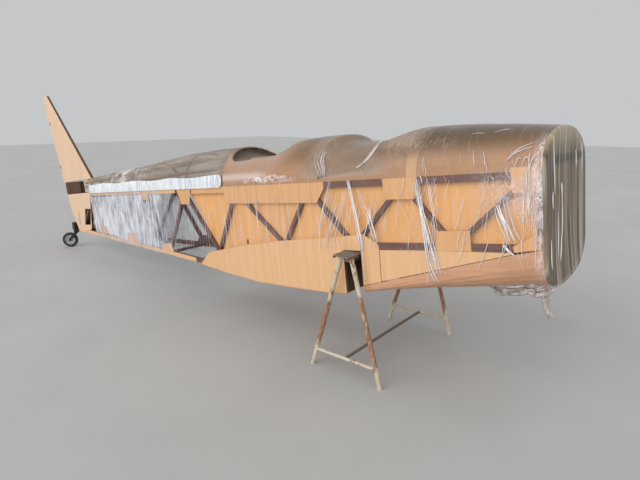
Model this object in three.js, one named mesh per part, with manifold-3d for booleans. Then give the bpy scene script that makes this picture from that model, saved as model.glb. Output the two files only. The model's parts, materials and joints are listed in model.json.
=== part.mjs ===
import * as THREE from 'three';
import { mergeVertices } from 'three/addons/utils/BufferGeometryUtils.js';
import Module from 'manifold-3d';

// A bare wooden glider fuselage with its fin, under restoration. The wings, tailplane, rudder
// and nose cap are off it. It stands on a steel trestle, whose beam passes through the wheel
// slot in the keel, and on a swivelling tail wheel. Millimetres, +X forward, +Y port, +Z up.

const wasm = await Module();
wasm.setup();

// Stance: the fuselage is nose-up on the floor
const PITCH = THREE.MathUtils.degToRad(6.84);
const SEAM_HEIGHT = 1291.1;
const REFERENCE_AFT = 2846;
const TRESTLE_OFFSET = 22.5;

// Thicknesses and clearances
const GAP = 0.3;
const MEMBER = 25;
const LINING = 4;
const PANEL = 3;
const SKIN = 5;
const FRAME_DEPTH = 24;
const FRAME_WIDTH = 22;
const FRAME_CORNER = 16;
const innerSide = MEMBER + LINING + 3 * GAP;
const wholeWidth = 600;
const wholeHeight = 2400;

// Plan of the side: station aft of the nose ring, half-width to the outside of the truss
const PLAN = [
  [-60, 385], [1250, 385], [1900, 345], [2600, 270], [3200, 200], [4000, 125], [5000, 50], [5450, 32],
];

// Crown of the decks: station, height over the seam between side and deck
const CROWN = [
  [0, 182], [200, 209], [410, 232], [600, 245], [1000, 256], [1420, 270], [1750, 262], [2150, 269],
  [2520, 275], [2830, 270], [3120, 254], [3600, 218], [4180, 188], [4700, 154], [4765, 151], [4900, 145],
];
const DECK_POWER = 2.2;
const BELLY_POWER = 2.6;
const BELLY_EDGE = 26;

// Belly ahead of the wheel slot: station, height of the chine seam, height of the keel line
const BELLY = [[0, -350, -572], [135, -379, -585], [500, -477, -615], [850, -572, -648], [972, -605, -662]];

// Side truss: upper node station, then the lower node aft of it: where the brace that comes down to it
// ends, where the next one up starts, and its height
const TRUSS = [
  [60, 415, 415, -350], [690, 989, 1054, -342], [1340, 1583, 1612, -385], [2060, 2379, 2346, -520],
  [2780, 3180, 3180, -563], [3490, 3890, 3890, -521], [4150, 4520, 4520, -476], [4730, 5160, 5160, -430],
];
// The trusses are joined at one station, behind the keel panels and the bands
const TRUSS_JOINT = 2365;
const UPPER_LONGERON = [[0, -19], [5330, -19]];
const LOWER_LONGERON = [
  [0, -346], [850, -369], [1300, -383], [2000, -446], [2650, -592], [3500, -546], [4700, -464],
  [5235, -424],
];
const KEEL_EDGE = [[1085, -648], [1536, -658], [1889, -658], [2318, -632], [2650, -597]];
const LONGERON_DEPTH = 36;
const BRACE_DEPTH = 24;
const BRACE_TOP = -30;

// Posts of the side truss: station, top and bottom height
const POSTS = [[12, -19, -346], [1105, -376, -650]];
const LINING_OUTLINE = [
  [26, -38], [2714, -38], [2375, -494], [2000, -430], [1300, -372], [1100, -392], [700, -386], [26, -366],
];

// Gussets on the aft truss, fused to it: each a quadrilateral of stations and heights
const PLATE_BITE = 1;
const AFT_GUSSETS = [
  [[4228, 0], [4071, 0], [4085, -55], [4215, -55]],
  [[3563, 0], [3413, 0], [3430, -92], [3545, -92]],
  [[3250, -483], [3118, -475], [3085, -584], [3312, -570]],
  [[3976, -411], [3797, -420], [3769, -521], [4004, -505]],
  [[4614, -347], [4530, -352], [4400, -455], [4625, -450]],
];

// Wheel slot in the keel, where the trestle beam goes through
const SLOT = {
  fore: 978, aft: 1100, top: -400, wall: 5.5, roof: 40, lift: 16, frontFoot: -640, backFoot: -656,
  trussCutTop: -395, trussCutFoot: -700,
};

// Outer plywood on each side: name, outline of stations and heights
const SIDE_PANELS = [
  ['band', [[1205, 0], [1205, -36], [1268, -122], [2200, -122], [2200, -46], [2655, -46], [2655, 0]]],
  ['gusset_upper_middle', [[801, 0], [597, 0], [603, -86], [615, -111], [781, -111], [796, -70]]],
  ['gusset_upper_front', [[135, 20], [14, 20], [14, -95], [128, -95]]],
  ['gusset_lower_front', [[501, -275], [331, -270], [327, -371], [521, -375.5]]],
  ['gusset_upper_aft', [[2896, 0], [2664, 0], [2712, -129], [2840, -130]]],
  ['gusset_nose', [[132, -339], [42, -288], [8, -282], [8, -347], [127, -366]]],
  ['web_lower', [[849, -389], [540, -377], [135, -368.5], [135, -376], [849, -567]]],
  ['web_slot', [[975, -304], [958, -301], [862, -353], [853, -366], [853, -571], [975, -602]]],
];

const KEEL_LINE = [[SLOT.aft, -661], [1227, -669], [1536, -673], [1889, -674], [2318, -647], [2648, -613]];
const KEEL_PANEL = [
  [978, -305], [1117, -322], [1647, -371], [1999, -419], [2499, -507], ...KEEL_LINE.toReversed(),
  [SLOT.aft, SLOT.top], [SLOT.fore, SLOT.top],
];
const TAIL_PANEL = [[5405, -12], [4760, 0], [4880, -400], [4900, -420], [5232, -440], [5345, -225]];
const TAIL_HOLE = [[4975, -180], [4815, -180], [4893, -362], [5050, -366]];

// Fin: chordwise stations and half-thicknesses at its base and tip
const FIN = {
  base: { height: 153, slope: -0.0295, lead: 4762, trail: 5471, half: 24 },
  tip: { height: 1146, slope: 0.05, lead: 5526, trail: 5661, half: 11 },
  strip: 32, thickest: 0.45, frontShare: 0.62, backShare: 0.9,
  stripNose: 2, stripShoulder: 9, stripShare: 0.28,
};
const SPAR_BLOCK = { lead: 5068, trail: 5432, low: -0.7, high: 131, half: 23 };
const STERN = [[5404, -2], [5372, -2], [5314, -225], [5204, -424], [5232, -440], [5345, -225]];
const STERN_CUT = [
  [5460, 10], [5371, 10], [5371, -2], [5313, -225], [5203, -424], [5203, -470], [5460, -470],
];

// Openings in the decks, in plan. The front one is an egg: station of the ends and the widest part,
// half-width there. The rear one has a square front: station, half-width.
const FRONT_OPENING = { fore: 690, aft: 1228, wide: 960, half: 300 };
const REAR_OPENING = [
  [1592, 0], [1593, 190], [1602, 236], [1620, 256], [1650, 268], [1720, 276], [1960, 271],
  [2060, 268], [2105, 260], [2148, 236], [2182, 180], [2205, 100], [2213, 0],
];
const OPENING_STEPS = 28;
const OPENING_POWER = 0.85;
const OPENING_FOOT = 24;
const OPENING_TOP = 424;

// The front opening also runs low along both sides, up to the full arch behind it: station, height
const FRONT_OPENING_SIDE = [
  [1250, 14], [1250, 400], [900, 400], [900, 165], [905, 110], [940, 62], [1050, 42], [1200, 30],
];

// Decks: name, first and last station
const DECKS = [
  ['deck_front', 2, 598],
  ['deck_strip', 598.4, 660],
  ['deck_middle', 660.4, 1750],
  ['deck_rear', 1750.4, 2250],
];

// Open deck behind the cockpits: stations of its hoops, and places of its stringers round the arch
const HOOPS = [2262, 2740, 3420, 4110, 4720];
const HOOP = { half: 9, depth: 16 };
const STRINGERS = [0.14, 0.28, 0.5, 0.72, 0.86];
const STRINGER = { half: 7, depth: 13, aft: 4900 };

// Frames inside the sides: name, station, height where the bottom turns in, height of the bottom
const FRAMES = [
  ['nose_ring', 13, -360, -560],
  ['frame_panel', 630, -300, -360.5],
  ['frame_seat_front', 1263, -300, -360.5],
  ['frame_seat_rear', 1578, -300, -360.5],
  ['frame_turtle', 2240, -300, -360.5],
];
const FLOOR = { top: -330, under: -338, fore: 30, aft: 2225, margin: 18 };

// Seats: name, station of the back's foot, half-width; then their profile: distance forward, height
const SEATS = [['seat_front', 1178, 215], ['seat_rear', 2120, 190]];
const SEAT = [
  [300, 120], [300, GAP], [312, GAP], [312, 132], [0, 118], [-60, 420], [-72, 418], [-12, 110],
];

// Trestle, in the plane of the floor: distances aft of the nose ring and from its own middle
const TRESTLE = {
  centre: 980, foot: 250, top: 32, half: 467.5, height: 762, legRadius: 14, tieRadius: 10,
  plate: 104, plateThick: 8, plateOver: 58, beam: 44, room: 4, crossbar: 112, tieInset: 44, spare: 15,
};

// Tail wheel on its swivel; the fork is parked swung to starboard
const CASTER = {
  pivotAft: 5330, trail: 80, radius: 88, tyre: 17, shoulder: 9, rim: 58, flange: 9, web: 4,
  hub: 17, hubHalf: 16, bore: 6.8, axle: 6,
  legInner: 22, legOuter: 27, axleOver: 6, bridge: 16, crownLow: 181, crownHigh: 194,
  headLow: 199.5, headHigh: 300, swing: 45,
};
const SWIVEL = {
  half: 32, halfWide: 26, discRadius: 28, disc: 14, blockLow: 12, crownRadius: 30, legWide: 26, eye: 14,
};
// Steel leaf under the tail that carries the swivel
const LEAF = { fore: 4850, half: 22, thick: 8, foreHeight: 240.5, aftHeight: 222 };

// The value at a station, from a table of stations and values
function interpolate(table, station) {
  if (station <= table[0][0]) return table[0][1];
  for (let i = 1; i < table.length; i++) {
    const [[s0, v0], [s1, v1]] = [table[i - 1], table[i]];
    if (station <= s1) return v0 + ((v1 - v0) * (station - s0)) / (s1 - s0);
  }
  return table.at(-1)[1];
}

const halfWidth = (station) => interpolate(PLAN, station);
const crown = (station) => interpolate(CROWN, station);

// Joins and cuts of closed geometry
function toSolid(geometry) {
  const bare = geometry.clone();
  bare.deleteAttribute('normal');
  bare.deleteAttribute('uv');
  const merged = mergeVertices(bare, 1e-3);
  return new wasm.Manifold(new wasm.Mesh({
    numProp: 3,
    vertProperties: new Float32Array(merged.attributes.position.array),
    triVerts: new Uint32Array(merged.index.array),
  }));
}

function toGeometry(solid) {
  const mesh = solid.getMesh();
  const geometry = new THREE.BufferGeometry();
  geometry.setAttribute('position', new THREE.BufferAttribute(new Float32Array(mesh.vertProperties), 3));
  geometry.setIndex(new THREE.BufferAttribute(new Uint32Array(mesh.triVerts), 1));
  geometry.computeVertexNormals();
  return geometry;
}

const join = (solids) => solids.reduce((whole, next) => whole.add(next));

// A closed body through rings of points that have one count
function loft(rings, flat) {
  const count = rings[0].length;
  const points = rings.flat();
  const faces = [];
  for (let r = 0; r < rings.length - 1; r++) {
    for (let i = 0; i < count; i++) {
      const j = (i + 1) % count;
      const [a, b, c, d] = [r * count + i, r * count + j, (r + 1) * count + j, (r + 1) * count + i];
      faces.push(a, b, c, a, c, d);
    }
  }
  const lastBase = (rings.length - 1) * count;
  for (const [ring, base, first] of [[rings[0], 0, true], [rings.at(-1), lastBase, false]]) {
    const triangles = THREE.ShapeUtils.triangulateShape(ring.map(flat), []);
    const outline = THREE.ShapeUtils.isClockWise(ring.map(flat));
    for (const [a, b, c] of triangles) {
      const order = first === outline ? [a, b, c] : [a, c, b];
      faces.push(...order.map((index) => base + index));
    }
  }
  return closed(points, faces);
}

// Faces turned so that the body is closed with its faces out
function closed(points, faces) {
  const vertices = new Float32Array(points.flatMap((p) => [p.x, p.y, p.z]));
  let volume = 0;
  for (let f = 0; f < faces.length; f += 3) {
    const [a, b, c] = [points[faces[f]], points[faces[f + 1]], points[faces[f + 2]]];
    volume += a.dot(new THREE.Vector3().crossVectors(b, c));
  }
  const turned = volume > 0 ? faces : [...faces].reverse();
  return new wasm.Manifold(new wasm.Mesh({
    numProp: 3, vertProperties: vertices, triVerts: new Uint32Array(turned),
  }));
}

const across = (p) => new THREE.Vector2(p.y, p.z);

// An outline of stations and heights, as thick across the hull as the span given
function sideways(outline, low, high) {
  const shape = new THREE.Shape(outline.map(([station, height]) => new THREE.Vector2(-station, height)));
  const geometry = new THREE.ExtrudeGeometry(shape, { depth: high - low, bevelEnabled: false });
  geometry.rotateX(Math.PI / 2);
  geometry.translate(0, high, 0);
  return toSolid(geometry);
}

// The space between two offsets from the plan of one side; side is -1 starboard, 1 port
function slab(side, inner, outer) {
  const edge = (offset) => (
    PLAN.map(([station, half]) => new THREE.Vector2(-station, side * (half + offset)))
  );
  const shape = new THREE.Shape([...edge(inner), ...edge(outer).reverse()]);
  const geometry = new THREE.ExtrudeGeometry(shape, { depth: wholeHeight, bevelEnabled: false });
  geometry.translate(0, 0, -wholeHeight / 2);
  return toSolid(geometry);
}

const sidePiece = (outline, side, inner, outer) => sideways(outline, -wholeWidth, wholeWidth)
  .intersect(slab(side, inner, outer));

// A bar of even depth along a line of stations and heights
function bar(line, depth) {
  const parts = [];
  for (let i = 0; i < line.length - 1; i++) {
    const [a, b] = [new THREE.Vector2(...line[i]), new THREE.Vector2(...line[i + 1])];
    const along = b.clone().sub(a).normalize();
    const up = new THREE.Vector2(-along.y, along.x).multiplyScalar(depth / 2);
    const reach = along.clone().multiplyScalar(i > 0 ? depth / 3 : 0);
    const start = a.clone().sub(reach);
    const corners = [start.clone().add(up), b.clone().add(up), b.clone().sub(up), start.clone().sub(up)];
    parts.push(sideways(corners.map((p) => [p.x, p.y]), -wholeWidth, wholeWidth));
  }
  return join(parts);
}

// Points of an arch over the hull, from starboard to port
function arch(station, half, rise, power, foot = 0, steps = 18) {
  const points = [];
  for (let i = 0; i <= steps; i++) {
    const angle = Math.PI * (i / steps);
    const [c, s] = [Math.cos(angle), Math.sin(angle)];
    const y = -half * Math.sign(c) * Math.abs(c) ** (2 / power);
    const z = foot + rise * Math.abs(s) ** (2 / power);
    points.push(new THREE.Vector3(-station, y, z));
  }
  return points;
}

const stationsBetween = (table, first, last) => [
  first, ...table.map((row) => row[0]).filter((s) => s > first + 5 && s < last - 5), last,
];

// A thin arched skin between two stations, standing on the seam
function deckSkin(first, last, thick = SKIN) {
  const both = [...stationsBetween(CROWN, first, last), ...stationsBetween(PLAN, first, last)];
  const stations = [...new Set(both)].sort((a, b) => a - b);
  const rings = stations.map((station) => {
    const [half, rise] = [halfWidth(station), crown(station)];
    const outer = arch(station, half, rise, DECK_POWER, GAP);
    const inner = arch(station, half - thick, rise - thick, DECK_POWER, GAP);
    return [...outer, ...inner.reverse()];
  });
  return loft(rings, across);
}

// Outlines of the openings in plan
function eggOutline({ fore, aft, wide, half }) {
  const points = [];
  for (let i = 0; i < OPENING_STEPS; i++) {
    const angle = (2 * Math.PI * i) / OPENING_STEPS;
    const reach = Math.cos(angle) > 0 ? wide - fore : aft - wide;
    const y = half * Math.sign(Math.sin(angle)) * Math.abs(Math.sin(angle)) ** OPENING_POWER;
    points.push(new THREE.Vector2(reach * Math.cos(angle) - wide, y));
  }
  return points;
}

function evenOutline(table) {
  const port = table.map(([station, half]) => new THREE.Vector2(-station, half));
  const starboard = table.slice(1, -1).map(([station, half]) => new THREE.Vector2(-station, -half));
  return [...port, ...starboard.reverse()];
}

// The space of an opening through the decks
function deckOpening(outline) {
  const depth = OPENING_TOP - OPENING_FOOT;
  const geometry = new THREE.ExtrudeGeometry(new THREE.Shape(outline), { depth, bevelEnabled: false });
  geometry.translate(0, 0, OPENING_FOOT);
  return toSolid(geometry);
}

function block(x0, x1, y0, y1, z0, z1) {
  const geometry = new THREE.BoxGeometry(x1 - x0, y1 - y0, z1 - z0);
  geometry.translate((x0 + x1) / 2, (y0 + y1) / 2, (z0 + z1) / 2);
  return toSolid(geometry);
}

// The level space of the trestle beam and its plate, in the frame of the pitched fuselage
function beamSpace() {
  const top = TRESTLE.height + GAP - SEAM_HEIGHT;
  const level = ([width, depth]) => {
    const space = new THREE.BoxGeometry(width, 2 * wholeWidth, depth);
    space.translate(-TRESTLE.centre, 0, top - depth / 2);
    return toSolid(space.rotateY(PITCH));
  };
  const { plate, plateThick, beam, room } = TRESTLE;
  return join([[plate + room, 2 * plateThick], [beam + 2 * room, 2 * beam]].map(level));
}

// Finishes of the real pieces
const finish = (color, roughness, metalness = 0) => () => (
  new THREE.MeshStandardMaterial({ color, roughness, metalness })
);
const paleOak = finish(0xe6bb86, 0.6);
const orangePly = finish(0xcf8e4c, 0.55);
const darkPine = finish(0x7a4c38, 0.65);
const deckPly = finish(0xa67b55, 0.5);
const bellyPly = finish(0xbd8058, 0.5);
const finPly = finish(0xdcb892, 0.6);
const spruce = finish(0xb28a63, 0.65);
const walnut = finish(0x5d3c28, 0.6);
const worn = finish(0x9a8f83, 0.75, 0.3);
const rusty = finish(0x5d534c, 0.85, 0.3);
const blackSteel = finish(0x2b2826, 0.55, 0.7);
const rubber = finish(0x1b1b1c, 0.85);
const alloy = finish(0xb9bcc0, 0.4, 0.8);

const glider = new THREE.Group();
const fuselage = new THREE.Group();
fuselage.rotation.y = -PITCH;
fuselage.position.set(REFERENCE_AFT, -TRESTLE_OFFSET, SEAM_HEIGHT);
glider.add(fuselage);

function addTo(group, name, solid, material) {
  const mesh = new THREE.Mesh(toGeometry(solid), material());
  mesh.name = name;
  group.add(mesh);
}

const SIDES = [['starboard', -1], ['port', 1]];

// Side trusses
function sideTruss(side) {
  const bars = [bar(UPPER_LONGERON, LONGERON_DEPTH), bar(LOWER_LONGERON, LONGERON_DEPTH)];
  bars.push(bar(KEEL_EDGE, BRACE_DEPTH));
  TRUSS.forEach(([upper, foot, nextFoot, height], i) => {
    bars.push(bar([[upper, BRACE_TOP], [foot, height]], BRACE_DEPTH));
    if (i + 1 < TRUSS.length) {
      bars.push(bar([[nextFoot, height], [TRUSS[i + 1][0], BRACE_TOP]], BRACE_DEPTH));
    }
  });
  for (const [station, top, bottom] of POSTS) {
    bars.push(bar([[station, top], [station, bottom]], BRACE_DEPTH));
  }
  const { fore, aft, trussCutFoot, trussCutTop } = SLOT;
  const slotCut = block(-aft, -fore, -wholeWidth, wholeWidth, trussCutFoot, trussCutTop);
  const web = join(bars).intersect(slab(side, -MEMBER, 0)).subtract(slotCut)
    .subtract(sideways(STERN_CUT, -wholeWidth, wholeWidth));
  const plates = AFT_GUSSETS.map((outline) => sidePiece(outline, side, -PLATE_BITE, PANEL));
  return join([web, ...plates]);
}

// The lengths of a truss ahead of its joint and behind it
const stretch = (aft, fore) => block(-aft, -fore, -wholeWidth, wholeWidth, -wholeHeight, wholeHeight);
const TRUSS_STRETCHES = [
  ['fore', stretch(TRUSS_JOINT - GAP / 2, -100)],
  ['aft', stretch(6000, TRUSS_JOINT + GAP / 2)],
];

const liningOutside = -MEMBER - GAP;
for (const [word, side] of SIDES) {
  const truss = sideTruss(side);
  for (const [place, space] of TRUSS_STRETCHES) {
    addTo(fuselage, `truss_${place}_${word}`, truss.intersect(space), darkPine);
  }
  const lining = sidePiece(LINING_OUTLINE, side, liningOutside - LINING, liningOutside);
  addTo(fuselage, `lining_${word}`, lining, orangePly);
  for (const [name, outline] of SIDE_PANELS) {
    addTo(fuselage, `${name}_${word}`, sidePiece(outline, side, GAP, GAP + PANEL), paleOak);
  }
  const keel = sidePiece(KEEL_PANEL, side, GAP, GAP + PANEL);
  addTo(fuselage, `keel_panel_${word}`, keel.subtract(beamSpace()), paleOak);
  const tail = sidePiece(TAIL_PANEL, side, GAP, GAP + PANEL)
    .subtract(sideways(TAIL_HOLE, -wholeWidth, wholeWidth));
  addTo(fuselage, `tail_panel_${word}`, tail, finPly);
}

// Decks
for (const [name, first, last] of DECKS) {
  let skin = deckSkin(first, last);
  if (name === 'deck_middle') {
    skin = skin.subtract(deckOpening(eggOutline(FRONT_OPENING)))
      .subtract(sideways(FRONT_OPENING_SIDE, -wholeWidth, wholeWidth));
  }
  if (name === 'deck_middle' || name === 'deck_rear') {
    skin = skin.subtract(deckOpening(evenOutline(REAR_OPENING)));
  }
  addTo(fuselage, name, skin, deckPly);
}

// Hoops and stringers of the open deck behind the cockpits
function turtleDeck() {
  const parts = HOOPS.map((station) => deckSkin(station - HOOP.half, station + HOOP.half, HOOP.depth));
  const span = stationsBetween(CROWN, HOOPS[0] - HOOP.half, STRINGER.aft);
  for (const place of STRINGERS) {
    const rings = span.map((station) => {
      const spread = STRINGER.half / halfWidth(station);
      const corner = (turn, depth) => {
        const angle = Math.PI * place + turn;
        const [c, s] = [Math.cos(angle), Math.sin(angle)];
        const [half, rise] = [halfWidth(station) - depth, crown(station) - depth];
        const y = -half * Math.sign(c) * Math.abs(c) ** (2 / DECK_POWER);
        return new THREE.Vector3(-station, y, GAP + rise * Math.abs(s) ** (2 / DECK_POWER));
      };
      return [[-spread, 0], [spread, 0], [spread, STRINGER.depth], [-spread, STRINGER.depth]]
        .map(([turn, depth]) => corner(turn, depth));
    });
    parts.push(loft(rings, across));
  }
  return join(parts);
}
addTo(fuselage, 'turtle_deck_frame', turtleDeck(), spruce);

// Belly skin ahead of the wheel slot
function bellySkin() {
  const rings = BELLY.map(([station, chine, keel]) => {
    const at = Math.max(station, 2);
    const half = halfWidth(at) + 2 * GAP + PANEL;
    const outline = (thick) => {
      const foot = chine - BELLY_EDGE;
      const round = arch(at, half - thick, keel - foot + thick, BELLY_POWER, foot);
      const edge = [-1, 1].map((side) => new THREE.Vector3(-at, side * (half - thick), chine));
      return [edge[0], ...round, edge[1]];
    };
    return [...outline(0), ...outline(PANEL).reverse()];
  });
  return loft(rings, across);
}
addTo(fuselage, 'belly_skin', bellySkin(), bellyPly);

// Flat bottom of the keel behind the slot
function keelFloor() {
  const rings = KEEL_LINE.map(([station, height]) => {
    const half = halfWidth(station) + GAP + PANEL;
    const z = height - GAP;
    return [[-half, z], [half, z], [half, z - SKIN], [-half, z - SKIN]]
      .map(([y, level]) => new THREE.Vector3(-station, y, level));
  });
  return loft(rings, across);
}
addTo(fuselage, 'keel_floor', keelFloor(), bellyPly);

// Box of the wheel bay, which sits on the trestle beam
function wheelBay() {
  const half = halfWidth(SLOT.aft) - innerSide;
  const [fore, aft] = [-SLOT.fore + SLOT.wall, -SLOT.aft - SLOT.wall];
  const top = SLOT.top + SLOT.lift;
  const roof = block(aft, fore, -half, half, SLOT.top - SLOT.roof, top);
  const front = block(fore - SLOT.wall, fore, -half, half, SLOT.frontFoot, top);
  const back = block(aft, aft + SLOT.wall, -half, half, SLOT.backFoot, top);
  return join([roof, front, back]).subtract(beamSpace());
}
addTo(fuselage, 'wheel_bay', wheelBay(), walnut);

// Cabin floor and seats
function cabinFloor() {
  const rings = stationsBetween(PLAN, FLOOR.fore, FLOOR.aft).map((station) => {
    const half = halfWidth(station) - innerSide - FRAME_WIDTH - FLOOR.margin;
    return [[-half, FLOOR.top], [half, FLOOR.top], [half, FLOOR.under], [-half, FLOOR.under]]
      .map(([y, z]) => new THREE.Vector3(-station, y, z));
  });
  return loft(rings, across);
}
addTo(fuselage, 'cabin_floor', cabinFloor(), orangePly);

for (const [name, foot, half] of SEATS) {
  const outline = SEAT.map(([forward, rise]) => [foot - forward, FLOOR.top + rise]);
  addTo(fuselage, name, sideways(outline, -half, half), spruce);
}

// Frames: a ring that follows the inside of the lining, deck and bottom
function ringFrame(name, station, chine, keel) {
  const ends = [station - FRAME_DEPTH / 2, station + FRAME_DEPTH / 2];
  const [width, rise] = [Math.min(...ends.map(halfWidth)), Math.min(...ends.map(crown))];
  const outline = (inset) => {
    const half = width - innerSide - inset;
    const top = arch(station, half, rise - SKIN - 1 - inset, DECK_POWER, GAP, 24);
    const corner = half - FRAME_CORNER;
    const flat = [[-half, chine], [-corner, keel + inset], [corner, keel + inset], [half, chine]]
      .map(([y, z]) => new THREE.Vector3(-station, y, z));
    const round = arch(station, half, keel - chine + inset, BELLY_POWER, chine);
    const bottom = (name === 'nose_ring' ? round : flat).reverse();
    return [...top, ...bottom].reverse().map((p) => new THREE.Vector2(p.y, p.z));
  };
  const shape = new THREE.Shape(outline(0));
  shape.holes.push(new THREE.Path(outline(FRAME_WIDTH)));
  const geometry = new THREE.ExtrudeGeometry(shape, { depth: FRAME_DEPTH, bevelEnabled: false });
  geometry.rotateX(Math.PI / 2);
  geometry.rotateZ(-Math.PI / 2);
  geometry.translate(-station + FRAME_DEPTH / 2, 0, 0);
  return toSolid(geometry);
}

for (const [name, station, chine, keel] of FRAMES) {
  addTo(fuselage, name, ringFrame(name, station, chine, keel), spruce);
}

// Cross members between the lower longerons at the aft nodes
TRUSS.slice(4, 7).forEach(([, station, , height], i) => {
  const deep = BRACE_DEPTH / 2;
  const half = halfWidth(station + deep) - MEMBER - GAP;
  const piece = block(-station - deep, -station + deep, -half, half, height - deep, height + deep);
  addTo(fuselage, `cross_member_${i + 1}`, piece, darkPine);
});

// Stern post, fin, its leading strip and the tailplane spar
const sternHalf = halfWidth(5450) - GAP;
addTo(fuselage, 'stern_post', sideways(STERN, -sternHalf, sternHalf), walnut);

// A tapered upright body; edge gives one side of a level as stations and half-thicknesses
function finSolid(edge) {
  const level = (chord) => {
    const near = edge(chord);
    const outline = [...near, ...near.map(([station, half]) => [station, -half]).reverse()];
    return outline.map(([station, y]) => (
      new THREE.Vector3(-station, y, chord.height + chord.slope * (station - chord.lead))
    ));
  };
  return loft([level(FIN.base), level(FIN.tip)], (p) => new THREE.Vector2(p.x, p.y));
}
const finEdge = ({ lead, trail, half }) => {
  const front = lead + FIN.strip + GAP;
  const middle = front + FIN.thickest * (trail - front);
  return [[front, half * FIN.frontShare], [middle, half], [trail, half * FIN.backShare]];
};
const stripEdge = ({ lead, half }) => [
  [lead, FIN.stripNose], [lead + FIN.stripShoulder, half * FIN.stripShare],
  [lead + FIN.strip, half * FIN.frontShare],
];
addTo(fuselage, 'fin', finSolid(finEdge), finPly);
addTo(fuselage, 'fin_leading_strip', finSolid(stripEdge), walnut);
function sparBlock() {
  const { lead, trail, low, high, half } = SPAR_BLOCK;
  return block(-trail, -lead, -half, half, low, high);
}
addTo(fuselage, 'tailplane_spar', sparBlock(), walnut);

// Trestle: two end frames of round tube, a stretcher, and a beam with a wide plate on it
const trestle = new THREE.Group();
trestle.position.x = REFERENCE_AFT - TRESTLE.centre;
glider.add(trestle);

// A flat bar between two points of an upright plane, as thick across it as y0 to y1
function strut(from, to, width, y0, y1) {
  const [a, b] = [new THREE.Vector2(...from), new THREE.Vector2(...to)];
  const out = b.clone().sub(a).normalize();
  const side = new THREE.Vector2(-out.y, out.x).multiplyScalar(width / 2);
  const corners = [a.clone().add(side), b.clone().add(side), b.clone().sub(side), a.clone().sub(side)];
  const shape = new THREE.Shape(corners);
  const geometry = new THREE.ExtrudeGeometry(shape, { depth: y1 - y0, bevelEnabled: false });
  geometry.rotateX(Math.PI / 2);
  geometry.translate(0, y1, 0);
  return toSolid(geometry);
}

// A round tube between two points across the trestle, in the plane of one end frame
function tube(from, to, radius, y) {
  const [a, b] = [new THREE.Vector2(...from), new THREE.Vector2(...to)];
  const along = b.clone().sub(a);
  const geometry = new THREE.CylinderGeometry(radius, radius, along.length(), 12);
  geometry.rotateZ(-Math.PI / 2).rotateY(-along.angle());
  geometry.translate((a.x + b.x) / 2, y, (a.y + b.y) / 2);
  return toSolid(geometry);
}

const legTop = TRESTLE.height - TRESTLE.plateThick - GAP;
function endFrame(side) {
  const { foot, top, half, legRadius, tieRadius, tieInset, crossbar, spare } = TRESTLE;
  const y = side * half;
  const lean = (foot - top) / legTop;
  const legs = [-1, 1].map((way) => (
    tube([way * (foot + spare * lean), -spare], [way * (top - spare * lean), legTop + spare], legRadius, y)
  ));
  const tie = tube([tieInset - foot, crossbar], [foot - tieInset, crossbar], tieRadius, y);
  return join([...legs, tie]).intersect(block(-wholeWidth, wholeWidth, -wholeWidth, wholeWidth, 0, legTop));
}
addTo(trestle, 'trestle_end_starboard', endFrame(-1), worn);
addTo(trestle, 'trestle_end_port', endFrame(1), worn);

const stretcherHalf = TRESTLE.half - TRESTLE.tieRadius - GAP;
const stretcher = new THREE.CylinderGeometry(TRESTLE.tieRadius, TRESTLE.tieRadius, 2 * stretcherHalf, 12);
addTo(trestle, 'trestle_stretcher', toSolid(stretcher.translate(0, 0, TRESTLE.crossbar)), rusty);

function trestleBeam() {
  const { plate, plateThick, plateOver, beam, height, half, legRadius } = TRESTLE;
  const [over, between] = [half + plateOver, half - legRadius - GAP];
  const beamTop = height - plateThick;
  const top = block(-plate / 2, plate / 2, -over, over, beamTop, height);
  const under = block(-beam / 2, beam / 2, -between, between, beamTop - beam, beamTop);
  return join([top, under]);
}
addTo(trestle, 'trestle_beam', trestleBeam(), rusty);

// Steel leaf and the head of the swivel
const leafGroup = new THREE.Group();
leafGroup.position.set(REFERENCE_AFT, -TRESTLE_OFFSET, 0);
glider.add(leafGroup);
const leafEnd = CASTER.pivotAft - SWIVEL.half - GAP;
const leafMiddle = LEAF.thick / 2;
const leafFrom = [-LEAF.fore, LEAF.foreHeight - leafMiddle];
const leafTo = [-leafEnd, LEAF.aftHeight - leafMiddle];
addTo(leafGroup, 'tail_leaf', strut(leafFrom, leafTo, LEAF.thick, -LEAF.half, LEAF.half), blackSteel);

const tailWheel = new THREE.Group();
tailWheel.position.set(REFERENCE_AFT - CASTER.pivotAft, -TRESTLE_OFFSET, 0);
glider.add(tailWheel);
function turned(profile, segments = 28) {
  const points = [...profile, profile[0]].map(([radius, height]) => new THREE.Vector2(radius, height));
  return toSolid(new THREE.LatheGeometry(points, segments).rotateX(Math.PI / 2));
}
const discOf = (radius, low, high) => turned([[0, low], [radius, low], [radius, high], [0, high]]);
function swivelHead() {
  const { half, halfWide, discRadius, disc, blockLow } = SWIVEL;
  const low = CASTER.headLow;
  return join([
    block(-half, half, -halfWide, halfWide, low + blockLow, CASTER.headHigh),
    discOf(discRadius, low, low + disc),
  ]);
}
addTo(tailWheel, 'swivel_head', swivelHead(), blackSteel);

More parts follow.
